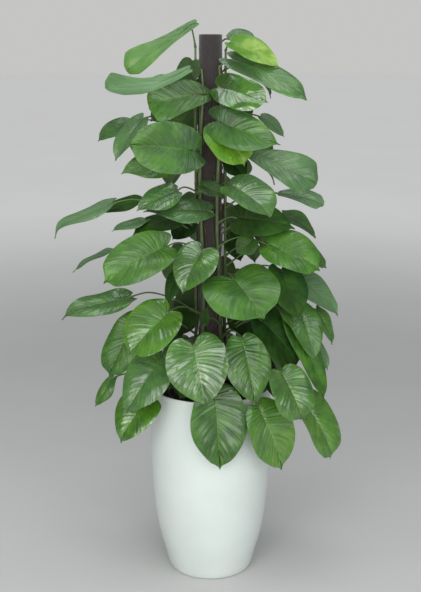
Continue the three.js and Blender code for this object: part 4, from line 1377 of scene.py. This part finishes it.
# %% Small old leaves in the shade, numbered after all the others
INNER = {
    "vine_left": [
        ((-48, 16, 958), (-100, -6, 914), 71, -55, 20, "egg", "dim"),
        ((-55, 10, 722), (-84, -6, 655), 71, -55, 20, "egg", "shaded_olive"),
    ],
    "vine_right": [
        ((45, 14, 1125), (89, -6, 1074), 71, 55, 20, "egg", "dim"),
        ((49, 16, 921), (80, 0, 855), 71, 50, 20, "egg", "dim"),
        ((55, 14, 716), (89, -2, 654), 71, 50, 20, "egg", "shaded_olive"),
    ],
}
print("placed near the pole:", sum(map(len, INNER.values())))

# %% [markdown]
# The back isn't in the photograph. A pothos gives out a leaf every few centimetres and turns as it
# climbs, so the back follows a rule instead of a table: a golden-angle spiral that is folded into
# the back half, with longer stalks lower down.

# %% The leaves at the back
BACK_LEAVES = 22
BACK_TOP, BACK_FOOT = 1354, 717
GOLDEN_TURN = 0.618034
BACK_KINDS = ("mid", "deep", "gloss", "fresh", "mid", "satin", "quilted")


def back_leaves():
    draw = dice(46)
    for i in range(BACK_LEAVES):
        share = i / (BACK_LEAVES - 1)
        azimuth = 28 + 107 * ((i * GOLDEN_TURN) % 1)
        height = BACK_TOP + (BACK_FOOT - BACK_TOP) * share
        reach = draw(72, 92) + 55 * share
        length = draw(115, 150)
        droop = math.radians(draw(38, 58))
        heading = math.radians(azimuth + draw(-14, 14))
        outward = length * math.cos(droop)
        x, y = math.cos(math.radians(azimuth)) * reach, math.sin(math.radians(azimuth)) * reach
        tip = (
            x + outward * math.cos(heading),
            y + outward * math.sin(heading),
            height - length * math.sin(droop),
        )
        owner = "vine_back_right" if azimuth < 90 else "vine_back_left"
        width = length * draw(0.66, 0.8)
        roll = draw(-14, 14)
        bend = draw(18, 34)
        form = "heart" if i % 2 == 0 else "egg"
        kind = BACK_KINDS[i % len(BACK_KINDS)]
        CLIMBERS[owner][2].append(((x, y, height), tip, width, roll, bend, form, kind))


back_leaves()
print("leaves of the climbing stems:", sum(len(leaves) for _, _, leaves in CLIMBERS.values()))

# %% [markdown]
# ## Growing the plant
# Each leafy stem of the model becomes two pieces, its blades and its stem with the stalks, and the
# stem's solid is hidden.

# %% Leafy stems
plants = [
    (name, climber_route(azimuth, top), leaves, True)
    for name, (azimuth, top, leaves) in CLIMBERS.items()
]
plants += [(name, route, leaves, False) for name, (route, leaves) in SHOOTS.items()]
number = 1
inner_number = 1 + sum(len(leaves) for _, _, leaves, _ in plants)
for name, route, leaves, climbs in plants:
    line = stem_line(route)
    blades, stalks = Shape(), Shape()
    add_stem(stalks, line, 100 + number, climbs)
    inner = INNER.get(name, [])
    numbered = list(enumerate(leaves, number)) + list(enumerate(inner, inner_number))
    for leaf_number, (at, tip, width, roll, bend, form, kind) in numbered:
        blade = Blade(at, tip, width, roll, bend, leaf_number)
        add_blade(blades, blade, form, kind, leaf_number)
        add_stalk(stalks, blade, line, line[0], LOOKS[kind], leaf_number)
    number += len(leaves)
    inner_number += len(inner)
    pieces = [blades.piece(name + "_blades", leaf_finishes, sharp=75)]
    pieces.append(stalks.piece(name + "_stem", [stalk_green, root_brown]))
    for piece in pieces:
        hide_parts(name)
print("leaves in all:", inner_number - 1)
